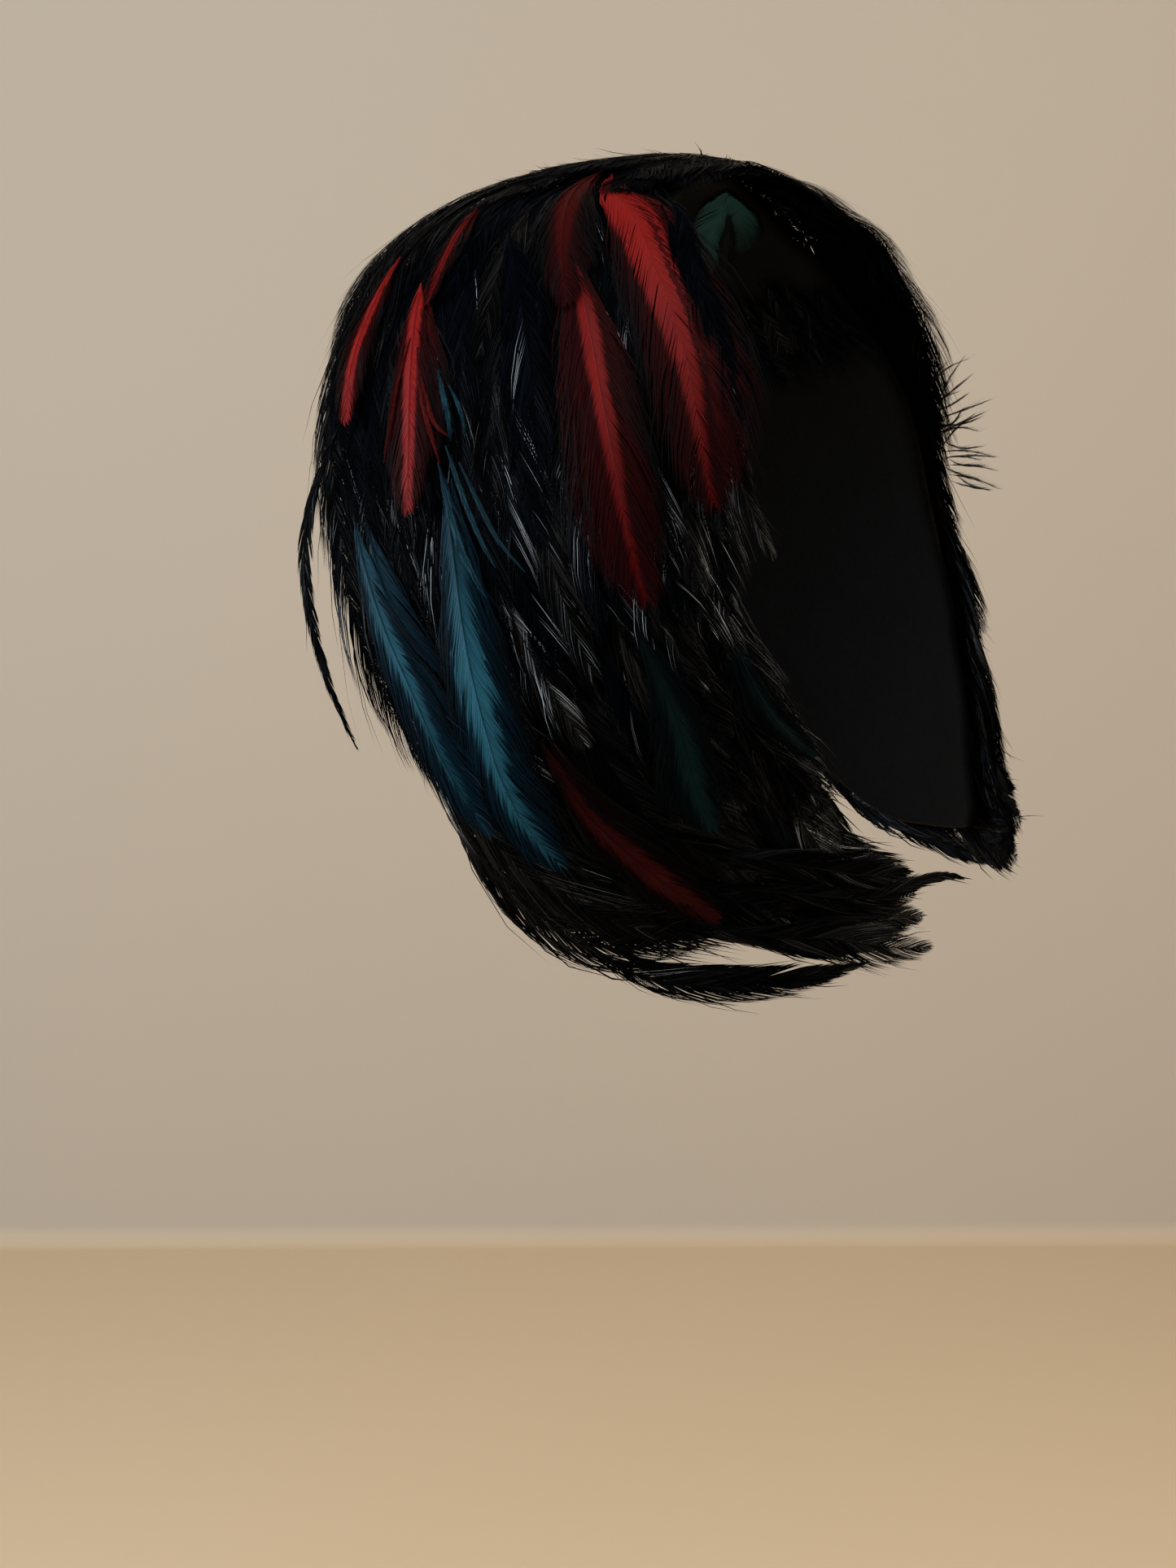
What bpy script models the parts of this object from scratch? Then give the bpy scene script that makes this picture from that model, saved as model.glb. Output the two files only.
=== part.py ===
"""A feather half hat: a stiff black band over the crown, with two wings that hang beside the face and curl
forward, covered in overlapping rows of black feathers with red, blue and teal ones laid on top.

+Z is up, the front is -Y and the wearer's right is -X. The origin is where the head meets the band's
underside on the crown. Lengths are in millimetres until a mesh is made."""

import math
from collections import namedtuple

import bpy
from mathutils import Vector

MM = 0.001

# The head-shaped form that the band is blocked on
FORM_HALF_WIDTH = 88.0
FORM_HEIGHT = 113.0
FORM_LOWER_HEIGHT = 190.0
FORM_DEPTH_CROWN = 104.0
FORM_DEPTH_CHEEK = 70.0
FORM_DEPTH_BACK = 108.0
DEPTH_SPREAD = 1.04
DOWN_RADIUS = 103.0
CHEEK_TURN = (0.7, 1.75)
UPRIGHT_TURN = (1.0, 1.9)
PROBE = 0.01

# The band
BAND_THICKNESS = 2.0
BAND_INSET = 5.0
BAND_REACH = 9.0
BAND_TIP_START = 7.6
BAND_TIP_ROUNDING = 0.25
BAND_LEAST_SHARE = 0.3
BAND_STEPS = 52
BAND_COLUMNS = 8

# The feathers
FEATHER_THICKNESS = 0.9
FEATHER_RIDGE = 0.6
SEAT_GAP = 0.5
LIFT_PER_STATION = 1.2
LENGTH_JITTER = 0.16
JITTER_STEPS = (12.9, 4.7)
SPLAY = 0.05
BACKING_SHARE = 0.42
BACKING_ROWS = 4
TIP_ROWS = 4
TIP_FULLNESS = 2.5
LEAF_ROWS = 8
LEAF_WIDEST = 0.55
LEAF_POINT_FULLNESS = 0.7
QUILL_SHARE = 0.3

# The feathers that part on the crown
CROWN_ROW_RISE = 2.2
CROWN_ROW_REACH = 1.4
CROWN_ROW_BACKING = 0.25
CROWN_FEATHERS = 5

CREASE_ANGLE = 35

RIGHT = -1
LEFT = 1
SIDE_NAMES = {RIGHT: "right", LEFT: "left"}

# Down the side from the crown, forward of the ears, and half the width of the feathers there
Station = namedtuple("Station", "down forward half_width")
WING = (
    Station(0, 1.5, 16),
    Station(23, -6, 23.5),
    Station(46, -12, 34),
    Station(74, -9, 38.5),
    Station(101, -2, 42.5),
    Station(126, 5.5, 40),
    Station(147, 16, 36),
    Station(165, 29, 31),
    Station(177, 44.5, 23),
    Station(187, 62, 12),
    Station(190, 82, 6),
)

# Each row starts at its root station and its feathers end at its reach
Row = namedtuple("Row", "root reach feathers")
ROWS = (
    Row(0.35, 4.6, 9),
    Row(2.0, 6.1, 9),
    Row(3.65, 7.5, 10),
    Row(5.3, 8.9, 9),
    Row(6.95, 10.2, 7),
)

# A single feather: the row that it lies on, its ends along and across the wing, and its width
Leaf = namedtuple("Leaf", "name colour row root reach across_root across_tip width sides")
BOTH = (RIGHT, LEFT)
LEAVES = (
    Leaf("red_feather_back", "red", 0, 2.3, 3.8, -0.7, -0.72, 7, BOTH),
    Leaf("red_feather_back_long", "red", 0, 2.6, 4.5, -0.46, -0.45, 9, BOTH),
    Leaf("red_feather_front_long", "red", 0, 1.55, 5.2, 0.34, 0.9, 15, BOTH),
    Leaf("red_feather_middle", "red", 0, 2.9, 5.6, 0.26, 0.47, 12, BOTH),
    Leaf("blue_feather_back", "blue", 1, 4.95, 6.25, -0.7, -0.72, 9, BOTH),
    Leaf("blue_feather_middle", "blue", 1, 4.95, 6.9, -0.31, -0.44, 12, BOTH),
    Leaf("teal_feather_low", "teal", 2, 6.4, 7.7, 0.38, 0.2, 10, BOTH),
    Leaf("rust_feather_low", "rust", 2, 6.4, 8.0, -0.2, -0.4, 9, BOTH),
    Leaf("teal_feather_edge", "teal", 2, 6.6, 8.3, 0.82, 1.15, 6, (RIGHT,)),
    Leaf("black_feather_stray", "black", 0, 3.7, 5.6, -0.92, -1.12, 5, (RIGHT,)),
    Leaf("black_feather_tip_long", "black", 3, 8.4, 10.5, 0.0, 0.4, 6, BOTH),
    Leaf("black_feather_tip_low", "black", 3, 8.4, 9.7, -0.8, -1.25, 6, BOTH),
)

# Feathers laid against the underside of the left half, near the crown
INNER_LEAVES = (
    Leaf("inner_teal_feather", "teal", 0, 0.5, 2.45, 0.35, 0.2, 13, (LEFT,)),
)
FRINGE_ROOT = 2.55
FRINGE_REACH = 3.7
FRINGE_ACROSS = (0.0, 0.8)
FRINGE_LOCKS = 6

Finish = namedtuple("Finish", "colour roughness")
FINISHES = {
    "felt": Finish((0.006, 0.006, 0.007), 0.9),
    "black": Finish((0.008, 0.009, 0.011), 0.42),
    "red": Finish((0.42, 0.012, 0.014), 0.45),
    "blue": Finish((0.02, 0.2, 0.32), 0.42),
    "teal": Finish((0.004, 0.09, 0.11), 0.42),
    "rust": Finish((0.14, 0.008, 0.006), 0.5),
}


def clear_scene():
    for old in list(bpy.data.objects):
        bpy.data.objects.remove(old)


def principled(name, finish):
    material = bpy.data.materials.new(name)
    material.use_nodes = True
    shader = material.node_tree.nodes["Principled BSDF"]
    shader.inputs["Base Color"].default_value = (*finish.colour, 1)
    shader.inputs["Roughness"].default_value = finish.roughness
    shader.inputs["Metallic"].default_value = 0
    return material


def eased(value, span):
    """0 below the span, 1 above it, and a smooth step between."""
    share = min(max((value - span[0]) / (span[1] - span[0]), 0), 1)
    return share * share * (3 - 2 * share)


def form_surface(down, forward):
    """A point of the form, for an arc down the right side and an arc forward along it."""
    turn = down / DOWN_RADIUS
    depth = FORM_DEPTH_BACK
    if forward > 0:
        depth = FORM_DEPTH_CROWN + (FORM_DEPTH_CHEEK - FORM_DEPTH_CROWN) * eased(turn, CHEEK_TURN)
    angle = forward / (DEPTH_SPREAD * depth)
    narrowing = math.cos(angle)
    height = FORM_HEIGHT * narrowing ** (1 - eased(turn, UPRIGHT_TURN))
    below = turn - math.pi / 2
    if below <= 0:
        x = FORM_HALF_WIDTH * narrowing * math.sin(turn)
        z = height * math.cos(turn)
    else:
        x = FORM_HALF_WIDTH * narrowing * math.sqrt(1 - (FORM_HEIGHT * below / FORM_LOWER_HEIGHT) ** 2)
        z = -height * below
    return Vector((-x, -depth * math.sin(angle), z))


def form_point(down, forward, rise):
    """The form's point moved out along its normal, with the band's underside at z = 0 on the crown."""
    centre = form_surface(down, forward)
    along = form_surface(down + PROBE, forward) - form_surface(down - PROBE, forward)
    across = form_surface(down, forward + PROBE) - form_surface(down, forward - PROBE)
    point = centre + along.cross(across).normalized() * rise
    point.z += BAND_THICKNESS - FORM_HEIGHT
    return point


def wing_section(station):
    """The wing's centre line and half width at a station, by a smooth curve through the table."""
    last = len(WING) - 1
    index = min(int(station), last - 1)
    share = station - index
    here = Vector(WING[index])
    after = Vector(WING[index + 1])
    before = Vector(WING[index - 1]) if index else Vector((-WING[1].down, WING[1].forward, WING[1].half_width))
    beyond = Vector(WING[index + 2]) if index + 2 <= last else 2 * after - here
    slope = (after - before) / 2
    slope_after = (beyond - here) / 2
    rise = share * share * (3 - 2 * share)
    return (here * (1 - rise) + after * rise
            + slope * (share - 2 * share ** 2 + share ** 3) + slope_after * (share ** 3 - share ** 2))


def wing_point(side, station, across, rise):
    """A point of one wing: across runs from -1 at the back edge to 1 at the front edge."""
    centre = wing_section(abs(station))
    ahead = wing_section(abs(station) + PROBE)
    heading = Vector((ahead.x - centre.x, ahead.y - centre.y)).normalized()
    if abs(station) < PROBE:
        heading = Vector((1, 0))
    offset = centre.z * across
    point = form_point(centre.x - heading.y * offset, centre.y + heading.x * offset, rise)
    if (station < 0) != (side == LEFT):
        point.x = -point.x
    return point


def closed_sheet(name, finish, cells, upper, lower, flipped):
    """One closed mesh from cells over an upper and a lower sheet of points, with walls round their rim."""
    count = len(upper)
    faces = [tuple(cell) for cell in cells]
    faces += [tuple(index + count for index in reversed(cell)) for cell in cells]
    edges = {(cell[i - 1], cell[i]) for cell in cells for i in range(len(cell))}
    rim = sorted(edge for edge in edges if edge[::-1] not in edges)
    faces += [(start, start + count, end + count, end) for start, end in rim]
    if flipped:
        faces = [face[::-1] for face in faces]
    mesh = bpy.data.meshes.new(name)
    mesh.from_pydata([point * MM for point in upper + lower], [], faces)
    mesh.shade_smooth()
    mesh.set_sharp_from_angle(angle=math.radians(CREASE_ANGLE))
    mesh.materials.append(principled(name, FINISHES[finish]))
    bpy.context.collection.objects.link(bpy.data.objects.new(name, mesh))


def grid_cells(rows, columns, offset=0):
    """The cells between the points of a grid that is stored row by row."""
    return [
        [offset + row * columns + column, offset + (row + 1) * columns + column,
         offset + (row + 1) * columns + column + 1, offset + row * columns + column + 1]
        for row in range(rows - 1) for column in range(columns - 1)
    ]


def band_half_share(station):
    """The band's half width as a share of the feathers' at a station, rounded off at the wing's end."""
    half_width = wing_section(station).z
    past = max(station - BAND_TIP_START, 0) / (BAND_REACH - BAND_TIP_START)
    rounding = max(math.sqrt(max(1 - past * past, 0)), BAND_TIP_ROUNDING)
    return max(1 - BAND_INSET / half_width, BAND_LEAST_SHARE) * rounding


def band():
    """The stiff band, from one wing's end over the crown to the other's."""
    upper = []
    lower = []
    for step in range(BAND_STEPS + 1):
        station = BAND_REACH * (2 * step / BAND_STEPS - 1)
        half_share = band_half_share(abs(station))
        for column in range(BAND_COLUMNS + 1):
            across = half_share * (2 * column / BAND_COLUMNS - 1)
            upper.append(wing_point(RIGHT, station, across, 0))
            lower.append(wing_point(RIGHT, station, across, -BAND_THICKNESS))
    cells = grid_cells(BAND_STEPS + 1, BAND_COLUMNS + 1)
    closed_sheet("base_band", "felt", cells, upper, lower, False)


def jitter(index, seed):
    """An uneven but repeatable value from -1 to 1."""
    return math.sin(JITTER_STEPS[0] * index + JITTER_STEPS[1] * seed)


class Comb:
    """A row of feather tips that share one backing, as cells over two sheets of points."""

    def __init__(self, side, rise_at, ridge=FEATHER_RIDGE):
        self.side = side
        self.rise_at = rise_at
        self.ridge = ridge
        self.cells = []
        self.upper = []
        self.lower = []

    def point(self, station, across, ridge_share):
        rise = self.rise_at(station) + self.ridge * ridge_share
        self.lower.append(wing_point(self.side, station, across, rise))
        self.upper.append(wing_point(self.side, station, across, rise + FEATHER_THICKNESS))
        return len(self.upper) - 1

    def backing(self, stations, feathers, span=(-1, 1)):
        """A strip two columns wide for each feather, ridged along each feather's middle."""
        columns = 2 * feathers + 1
        first = len(self.upper)
        for station in stations:
            for column in range(columns):
                across = span[0] + (span[1] - span[0]) * column / (columns - 1)
                self.point(station, across, column % 2)
        self.cells += grid_cells(len(stations), columns, first)
        last = first + (len(stations) - 1) * columns
        return list(range(first, first + columns)), list(range(last, last + columns))

    def tip(self, edge, start, end, across_from, across_to, drift):
        """One feather's free end, from three points of the backing's edge to a point."""
        left, middle, right = edge
        forward = end > start
        for row in range(1, TIP_ROWS):
            share = row / TIP_ROWS
            station = start + (end - start) * share
            width = (1 - share ** TIP_FULLNESS) * (across_to - across_from) / 2
            centre = (across_from + across_to) / 2 + drift * share
            fresh = [self.point(station, centre - width, 0), self.point(station, centre, 1),
                     self.point(station, centre + width, 0)]
            for old, new, old_next, new_next in ((left, fresh[0], middle, fresh[1]),
                                                 (middle, fresh[1], right, fresh[2])):
                self.add([old, new, new_next, old_next], forward)
            left, middle, right = fresh
        point = self.point(end, (across_from + across_to) / 2 + drift, 0.5)
        self.add([left, point, middle], forward)
        self.add([middle, point, right], forward)

    def add(self, cell, forward):
        self.cells.append(cell if forward else cell[::-1])

    def tips(self, edge, start, end, feathers, seed, span=(-1, 1)):
        for feather in range(feathers):
            width = (span[1] - span[0]) / feathers
            across_from = span[0] + width * feather
            middle = across_from + width / 2
            reach = end + LENGTH_JITTER * jitter(feather, seed) * (1 if end > start else -1)
            corners = edge[2 * feather:2 * feather + 3]
            self.tip(corners, start, reach, across_from, across_from + width, SPLAY * middle)

    def finish(self, name, finish):
        closed_sheet(name, finish, self.cells, self.upper, self.lower, self.side == LEFT)


def spread(start, end, count):
    return [start + (end - start) * index / (count - 1) for index in range(count)]


def row_rise(row):
    """The height of a row's underside over the band: each row rises over the roots of the next."""
    return lambda station: SEAT_GAP + LIFT_PER_STATION * (station - row.root)


def feather_row(side, number, row):
    comb = Comb(side, row_rise(row))
    backing_end = row.root + BACKING_SHARE * (row.reach - row.root)
    edge = comb.backing(spread(row.root, backing_end, BACKING_ROWS), row.feathers)[1]
    comb.tips(edge, backing_end, row.reach, row.feathers, number)
    comb.finish(f"{SIDE_NAMES[side]}_feather_row_{number}", "black")


def crown_row():
    """Short feathers that part on the crown and cover the roots of both first rows."""
    comb = Comb(RIGHT, lambda station: CROWN_ROW_RISE + LIFT_PER_STATION * abs(station))
    stations = spread(-CROWN_ROW_BACKING, CROWN_ROW_BACKING, 3)
    first, last = comb.backing(stations, CROWN_FEATHERS)
    comb.tips(last, CROWN_ROW_BACKING, CROWN_ROW_REACH, CROWN_FEATHERS, 0)
    comb.tips(first, -CROWN_ROW_BACKING, -CROWN_ROW_REACH, CROWN_FEATHERS, 1)
    comb.finish("crown_feather_row", "black")


def leaf_width(share):
    """A feather's width along its length, as a share of its greatest: a quill, a full middle and a point."""
    if share < LEAF_WIDEST:
        return QUILL_SHARE + (1 - QUILL_SHARE) * math.sin(math.pi / 2 * share / LEAF_WIDEST)
    past = (share - LEAF_WIDEST) / (1 - LEAF_WIDEST)
    return math.cos(math.pi / 2 * past) ** LEAF_POINT_FULLNESS


def leaf_feather(side, leaf, rise_at, ridge, name):
    comb = Comb(side, rise_at, ridge)
    earlier = []
    for row in range(LEAF_ROWS):
        share = row / LEAF_ROWS
        station = leaf.root + (leaf.reach - leaf.root) * share
        middle = leaf.across_root + (leaf.across_tip - leaf.across_root) * share
        width = leaf.width / 2 * leaf_width(share) / wing_section(station).z
        fresh = [comb.point(station, middle - width, 0), comb.point(station, middle, 1),
                 comb.point(station, middle + width, 0)]
        if earlier:
            comb.add([earlier[0], fresh[0], fresh[1], earlier[1]], True)
            comb.add([earlier[1], fresh[1], fresh[2], earlier[2]], True)
        earlier = fresh
    point = comb.point(leaf.reach, leaf.across_tip, 0.5)
    comb.add([earlier[0], point, earlier[1]], True)
    comb.add([earlier[1], point, earlier[2]], True)
    comb.finish(name, leaf.colour)


def laid_feathers():
    """The feathers that lie on top of the rows."""
    clearance = FEATHER_THICKNESS + FEATHER_RIDGE + SEAT_GAP
    for leaf in LEAVES:
        rise = row_rise(ROWS[leaf.row])
        for side in leaf.sides:
            leaf_feather(side, leaf, lambda station: rise(station) + clearance, FEATHER_RIDGE,
                         f"{SIDE_NAMES[side]}_{leaf.name}")


def inner_feathers():
    """The feathers against the band's underside, and the short fringe below them."""
    depth = -BAND_THICKNESS - SEAT_GAP - FEATHER_THICKNESS
    for leaf in INNER_LEAVES:
        leaf_feather(LEFT, leaf, lambda station: depth, -FEATHER_RIDGE, leaf.name)
    comb = Comb(LEFT, lambda station: depth, -FEATHER_RIDGE)
    backing_end = FRINGE_ROOT + BACKING_SHARE * (FRINGE_REACH - FRINGE_ROOT)
    edge = comb.backing([FRINGE_ROOT, backing_end], FRINGE_LOCKS, FRINGE_ACROSS)[1]
    comb.tips(edge, backing_end, FRINGE_REACH, FRINGE_LOCKS, 2, FRINGE_ACROSS)
    comb.finish("inner_fringe", "black")


clear_scene()
band()
crown_row()
for wing_side in BOTH:
    for row_number, feathers in enumerate(ROWS, start=1):
        feather_row(wing_side, row_number, feathers)
laid_feathers()
inner_feathers()
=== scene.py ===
import math
from collections import namedtuple

import bpy
import numpy as np
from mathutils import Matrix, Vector


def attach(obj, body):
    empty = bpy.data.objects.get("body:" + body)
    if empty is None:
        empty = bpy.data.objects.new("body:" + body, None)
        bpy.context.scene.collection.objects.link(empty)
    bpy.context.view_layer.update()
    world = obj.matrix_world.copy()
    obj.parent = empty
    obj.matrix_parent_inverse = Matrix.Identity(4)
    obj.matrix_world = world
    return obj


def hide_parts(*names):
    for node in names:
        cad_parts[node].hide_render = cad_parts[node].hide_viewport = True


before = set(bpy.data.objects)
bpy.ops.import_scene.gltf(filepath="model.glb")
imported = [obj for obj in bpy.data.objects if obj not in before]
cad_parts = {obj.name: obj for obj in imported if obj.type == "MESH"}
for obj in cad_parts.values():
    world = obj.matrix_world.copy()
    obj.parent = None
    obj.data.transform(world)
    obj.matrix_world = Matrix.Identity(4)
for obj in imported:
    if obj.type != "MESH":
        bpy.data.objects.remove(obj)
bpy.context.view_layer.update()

MM = 0.001

# Seeds for the random draws; a row's is ten times its number, and five more on the left
SEED = 4910
CROWN_SEED = 3
INNER_TEAL_SEED = 90
FRINGE_SEED = 91
ACCENT_SEED = 200

# The rounded form that the band is blocked on, in millimetres, as in the CAD part
FORM_HALF_WIDTH = 88.0
FORM_HEIGHT = 113.0
FORM_LOWER_HEIGHT = 190.0
FORM_DEPTH_CROWN = 104.0
FORM_DEPTH_CHEEK = 70.0
FORM_DEPTH_BACK = 108.0
DEPTH_SPREAD = 1.04
DOWN_RADIUS = 103.0
CHEEK_TURN = (0.7, 1.75)
UPRIGHT_TURN = (1.0, 1.9)
LEAST_NARROWING = 0.01
PROBE = 0.01

# The band
BAND_THICKNESS = 2.0
BAND_INSET = 5.0
BAND_REACH = 9.0
BAND_TIP_START = 7.6
BAND_TIP_ROUNDING = 0.25
BAND_LEAST_SHARE = 0.3
BAND_STEPS = 180
BAND_COLUMNS = 28
BAND_RIM_TURNS = 4
BAND_RIM_BULGE = 0.9
HEM_DEPTH = 0.35
HEM_WIDTH = 7.5
HEM_STEP = 1.0

RIGHT = -1
LEFT = 1
BOTH = (RIGHT, LEFT)
SIDE_NAMES = {RIGHT: "right", LEFT: "left"}

# Places on a wing are a station, from 0 on the crown to 10 at the tip, and how far across it they lie, from
# -1 at the back edge to 1 at the front one.
WING = np.array([
    # arcs down from the crown and forward, and half the width of the feathers there
    (0, 1.5, 16),
    (23, -6, 23.5),
    (46, -12, 34),
    (74, -9, 38.5),
    (101, -2, 42.5),
    (126, 5.5, 40),
    (147, 16, 36),
    (165, 29, 31),
    (177, 44.5, 23),
    (187, 62, 12),
    (190, 82, 6),
], float)

# How far the feathers stand out past the wing's edges by station, as shares of its half width
EDGE_PUFF = np.array([
    # station, back, front on the right, front on the left
    (0, -0.1, 0.1, 0.1),
    (0.5, -0.12, 0.0, 0.4),
    (1, -0.15, -0.18, 0.6),
    (1.5, -0.18, -0.22, 0.6),
    (2.2, -0.24, -0.18, 0.4),
    (3, -0.22, -0.12, 0.2),
    (4, -0.1, -0.05, 0.04),
    (5, -0.08, 0, 0),
    (6.5, -0.06, 0, 0),
    (7.5, 0, 0, 0),
    (8.5, 0.35, 0, 0),
    (11, 0.5, 0, 0),
])
PUFF_FROM = 0.2

# The height of the feathers over the band
SEAT_GAP = 0.5
LIFT_PER_STATION = 1.2
CROWN_ROW_RISE = 2.2
EDGE_LOFT = 1.6
FRONT_LOFT = 2.4
LOFT_ACROSS = (0.4, 1.1)
LOFT_STARTS = (0.3, 1.2)
LOFT_ENDS = (3, 5.5)

# A feather's centre line keeps LINE_POINTS even points of LINE_SAMPLES
LINE_POINTS = 33
LINE_SAMPLES = 97

# Shares of a turn whose multiples spread evenly
GOLDEN = 0.61803399
SILVER = 0.75487767


def smooth(value, low, high):
    """0 below low, 1 above high, and a smooth step between."""
    share = np.clip((value - low) / (high - low), 0, 1)
    return share * share * (3 - 2 * share)


def between(low, high, share):
    """A value from low at 0 to high at 1."""
    return low + (high - low) * share


def form_surface(down, forward):
    """Points of the form, for arcs down the right side and arcs forward along it."""
    turn = down / DOWN_RADIUS
    front = between(FORM_DEPTH_CROWN, FORM_DEPTH_CHEEK, smooth(turn, *CHEEK_TURN))
    depth = np.where(forward > 0, front, FORM_DEPTH_BACK)
    angle = forward / (DEPTH_SPREAD * depth)
    narrowing = np.maximum(np.cos(angle), LEAST_NARROWING)
    height = FORM_HEIGHT * narrowing ** (1 - smooth(turn, *UPRIGHT_TURN))
    below = turn - math.pi / 2
    lower = np.sqrt(np.clip(1 - (FORM_HEIGHT * below / FORM_LOWER_HEIGHT) ** 2, 0, 1))
    side = np.where(below <= 0, np.sin(turn), lower)
    z = np.where(below <= 0, height * np.cos(turn), -height * below)
    return np.stack([-FORM_HALF_WIDTH * narrowing * side, -depth * np.sin(angle), z], -1)


def form_points(chart, side):
    """Points in metres for chart rows of down, forward and rise; a negative down lies past the crown."""
    down, forward, rise = np.moveaxis(chart, -1, 0)
    mirror = np.where(down < 0, -side, side) * RIGHT
    down = np.abs(down)
    along = form_surface(down + PROBE, forward) - form_surface(down - PROBE, forward)
    across = form_surface(down, forward + PROBE) - form_surface(down, forward - PROBE)
    normal = np.cross(along, across)
    normal /= np.linalg.norm(normal, axis=-1, keepdims=True)
    points = form_surface(down, forward) + normal * rise[..., None]
    points[..., 2] += BAND_THICKNESS - FORM_HEIGHT
    points[..., 0] *= mirror
    return points * MM


def curve(table, place):
    """A smooth curve through the table's rows at places, which count from its second row."""
    index = np.clip(place.astype(int), 0, len(table) - 4)
    share = (place - index).reshape(*place.shape, *[1] * (table.ndim - 1))
    before, here, after, beyond = (table[index + step] for step in range(4))
    return 0.5 * (2 * here + (after - before) * share
                  + (2 * before - 5 * here + 4 * after - beyond) * share ** 2
                  + (3 * here - before - 3 * after + beyond) * share ** 3)


def wing_section(station):
    """The wing's centre line and half width at stations; it runs on past the crown as on this side."""
    past_crown = WING[1] * (-1, 1, 1)
    return curve(np.vstack([past_crown, WING, 2 * WING[-1] - WING[-2]]), np.asarray(station, float))


def wing_chart(station, across):
    """Chart arcs (down, forward) of wing coordinates; a negative station lies past the crown."""
    size = np.abs(station)
    here = wing_section(size)
    heading = (wing_section(size + PROBE) - here)[..., :2]
    heading /= np.linalg.norm(heading, axis=-1, keepdims=True)
    offset = here[..., 2] * across
    down = here[..., 0] - heading[..., 1] * offset
    forward = here[..., 1] + heading[..., 0] * offset
    return np.stack([np.where(station < 0, -down, down), forward], -1)


def spline(at, values):
    """A smooth curve through evenly spaced values."""
    values = np.asarray(values, float)
    table = np.concatenate([[2 * values[0] - values[1]], values, [2 * values[-1] - values[-2]]])
    return curve(table, at * (len(values) - 1))


# How a feather looks unless it says otherwise. Widths are in millimetres, and places along a feather run
# from 0 at its root to 1 at its tip.
LOOK = {
    "width": 10.0,        # over both sides of the vane
    "start": 0.1,         # where the vane starts
    "fullness": 0.3,      # where it is as wide as it gets
    "point": 0.42,        # where it starts to narrow
    "tip": 0.1,           # the share of the width left at the tip
    "sweep": 3.0,         # how far a barb leans along the feather, for each unit across
    "tip_sweep": 5.5,     # the same at the tip
    "loose": 0.5,         # how far barbs part from each other
    "clumps": 11.0,       # how many groups of barbs hold together on each side
    "camber": 0.16,       # how far the vane's sides fall away
    "roll": 0.16,         # how far single barbs turn
    # glinting barbs also get a painted pale highlight in their colour
    "glint": 0.005,       # the share of clumps that turn to the light
    "loft": 0.35,         # how unevenly barbs are raised
    "barb": 0.34,         # a barb's width at its root
    "thin": 0.6,          # how much narrower barbs are at the feather's tip
    "shaft": 0.4,         # how bright the shaft is beside the stripe
    "quill": 0.42,        # the shaft's width at its root
    "stray": 0.05,        # the share of barbs that stray
    "stripe": (0, 0, 0, 0, 0),  # the bright stripe's share of the width, at even steps along the feather
    "bright": (0, 1, 1, 1, 1),  # how bright the stripe is there
    "dark": 0.0,          # how far the dye reaches across
    "tone": 0.5,          # how light the feather is
}


class Plumes:
    """Feathers of one piece: their centre lines on the chart, and how their vanes are shaped and dyed."""

    def __init__(self, side, seed):
        self.side = side
        self.rng = np.random.default_rng([SEED, seed])
        self.lines = []
        self.rows = []

    def add(self, stations, acrosses, rises, **look):
        """One feather along wing coordinates that are given at even steps from its root to its tip."""
        share = np.linspace(0, 1, LINE_SAMPLES)
        station, across, rise = (spline(share, values) for values in (stations, acrosses, rises))
        line = np.concatenate([wing_chart(station, across), rise[:, None]], -1)
        steps = np.linalg.norm(np.diff(line, axis=0), axis=-1)
        travelled = np.concatenate([[0], np.cumsum(steps)]) / steps.sum()
        even = np.linspace(0, 1, LINE_POINTS)
        self.lines.append(np.stack([np.interp(even, travelled, line[:, axis]) for axis in range(3)], -1))
        self.rows.append(dict(LOOK, **look))

    def column(self, key):
        """One look of every feather."""
        return np.array([row[key] for row in self.rows], float)


# How barbs are laid along a feather, with lengths in millimetres. Three uneven shares are for the barb
# itself, for its clump and for straying.
BARB_STOPS = np.array([0, 0.32, 0.68, 1])    # the places along a barb where its ribbon has points
BARB_WIDTHS = np.array([1, 0.86, 0.6, 0])    # its width there
BARB_BEND = 1.7
LEAST_BEND = 0.05
ROOT_JITTER = 0.3
OPENING_BEND = 0.6
CLOSING_BEND = 1.7
UNEVEN_REACH = (0.07, 0.12, 0.3)
UNEVEN_SWEEP = (0.05, 0.12, 0.25)
UNEVEN_LOFT = (0.6, 0.7, 1.3)
UNEVEN_ROLL = (0.15, 1.2)
UNEVEN_WIDTH = 0.15
FIRST_LEAN = 1.5
LEAST_LEAN = 0.01
CLUMP_PULL = 0.9
VANE_END = 1.03
CLUMP_WAVE = 0.33
CLUMP_WAVE_TURNS = 0.41
CLUMP_OFFSET = 7
CLUMP_DRAWS = 64
RISE_BEND = 1.5
THINNING = (0.45, 1)

# The few barbs that turn to the light, on which the black material also paints a pale highlight: their tones
# lie above DULL_TONE
DULL_TONE = 0.9
TONE_SHARES = (0.6, 0.4)                     # what the barb and its clump each add to its tone
GLINT_WIDTH = 0.44
GLINTS_PER_CLUMP = 0.32
GLINT_LIFT = 0.3
GLINT_LIFTED = (0.1, 0.5)
GLINT_TURN = (0.3, 0.15)
GLINT_TURNED = (0.1, 0.6)

SHAFT_ROWS = 9
SHAFT_END = 0.97
SHAFT_TAPER = 0.85
SHAFT_SECTION = ((-1, 0.05), (0, 0.22), (1, 0.05))
SHAFT_HALF_WIDTH = 0.25                      # at which the section's heights hold
SHAFT_GAP = 0.06

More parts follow.
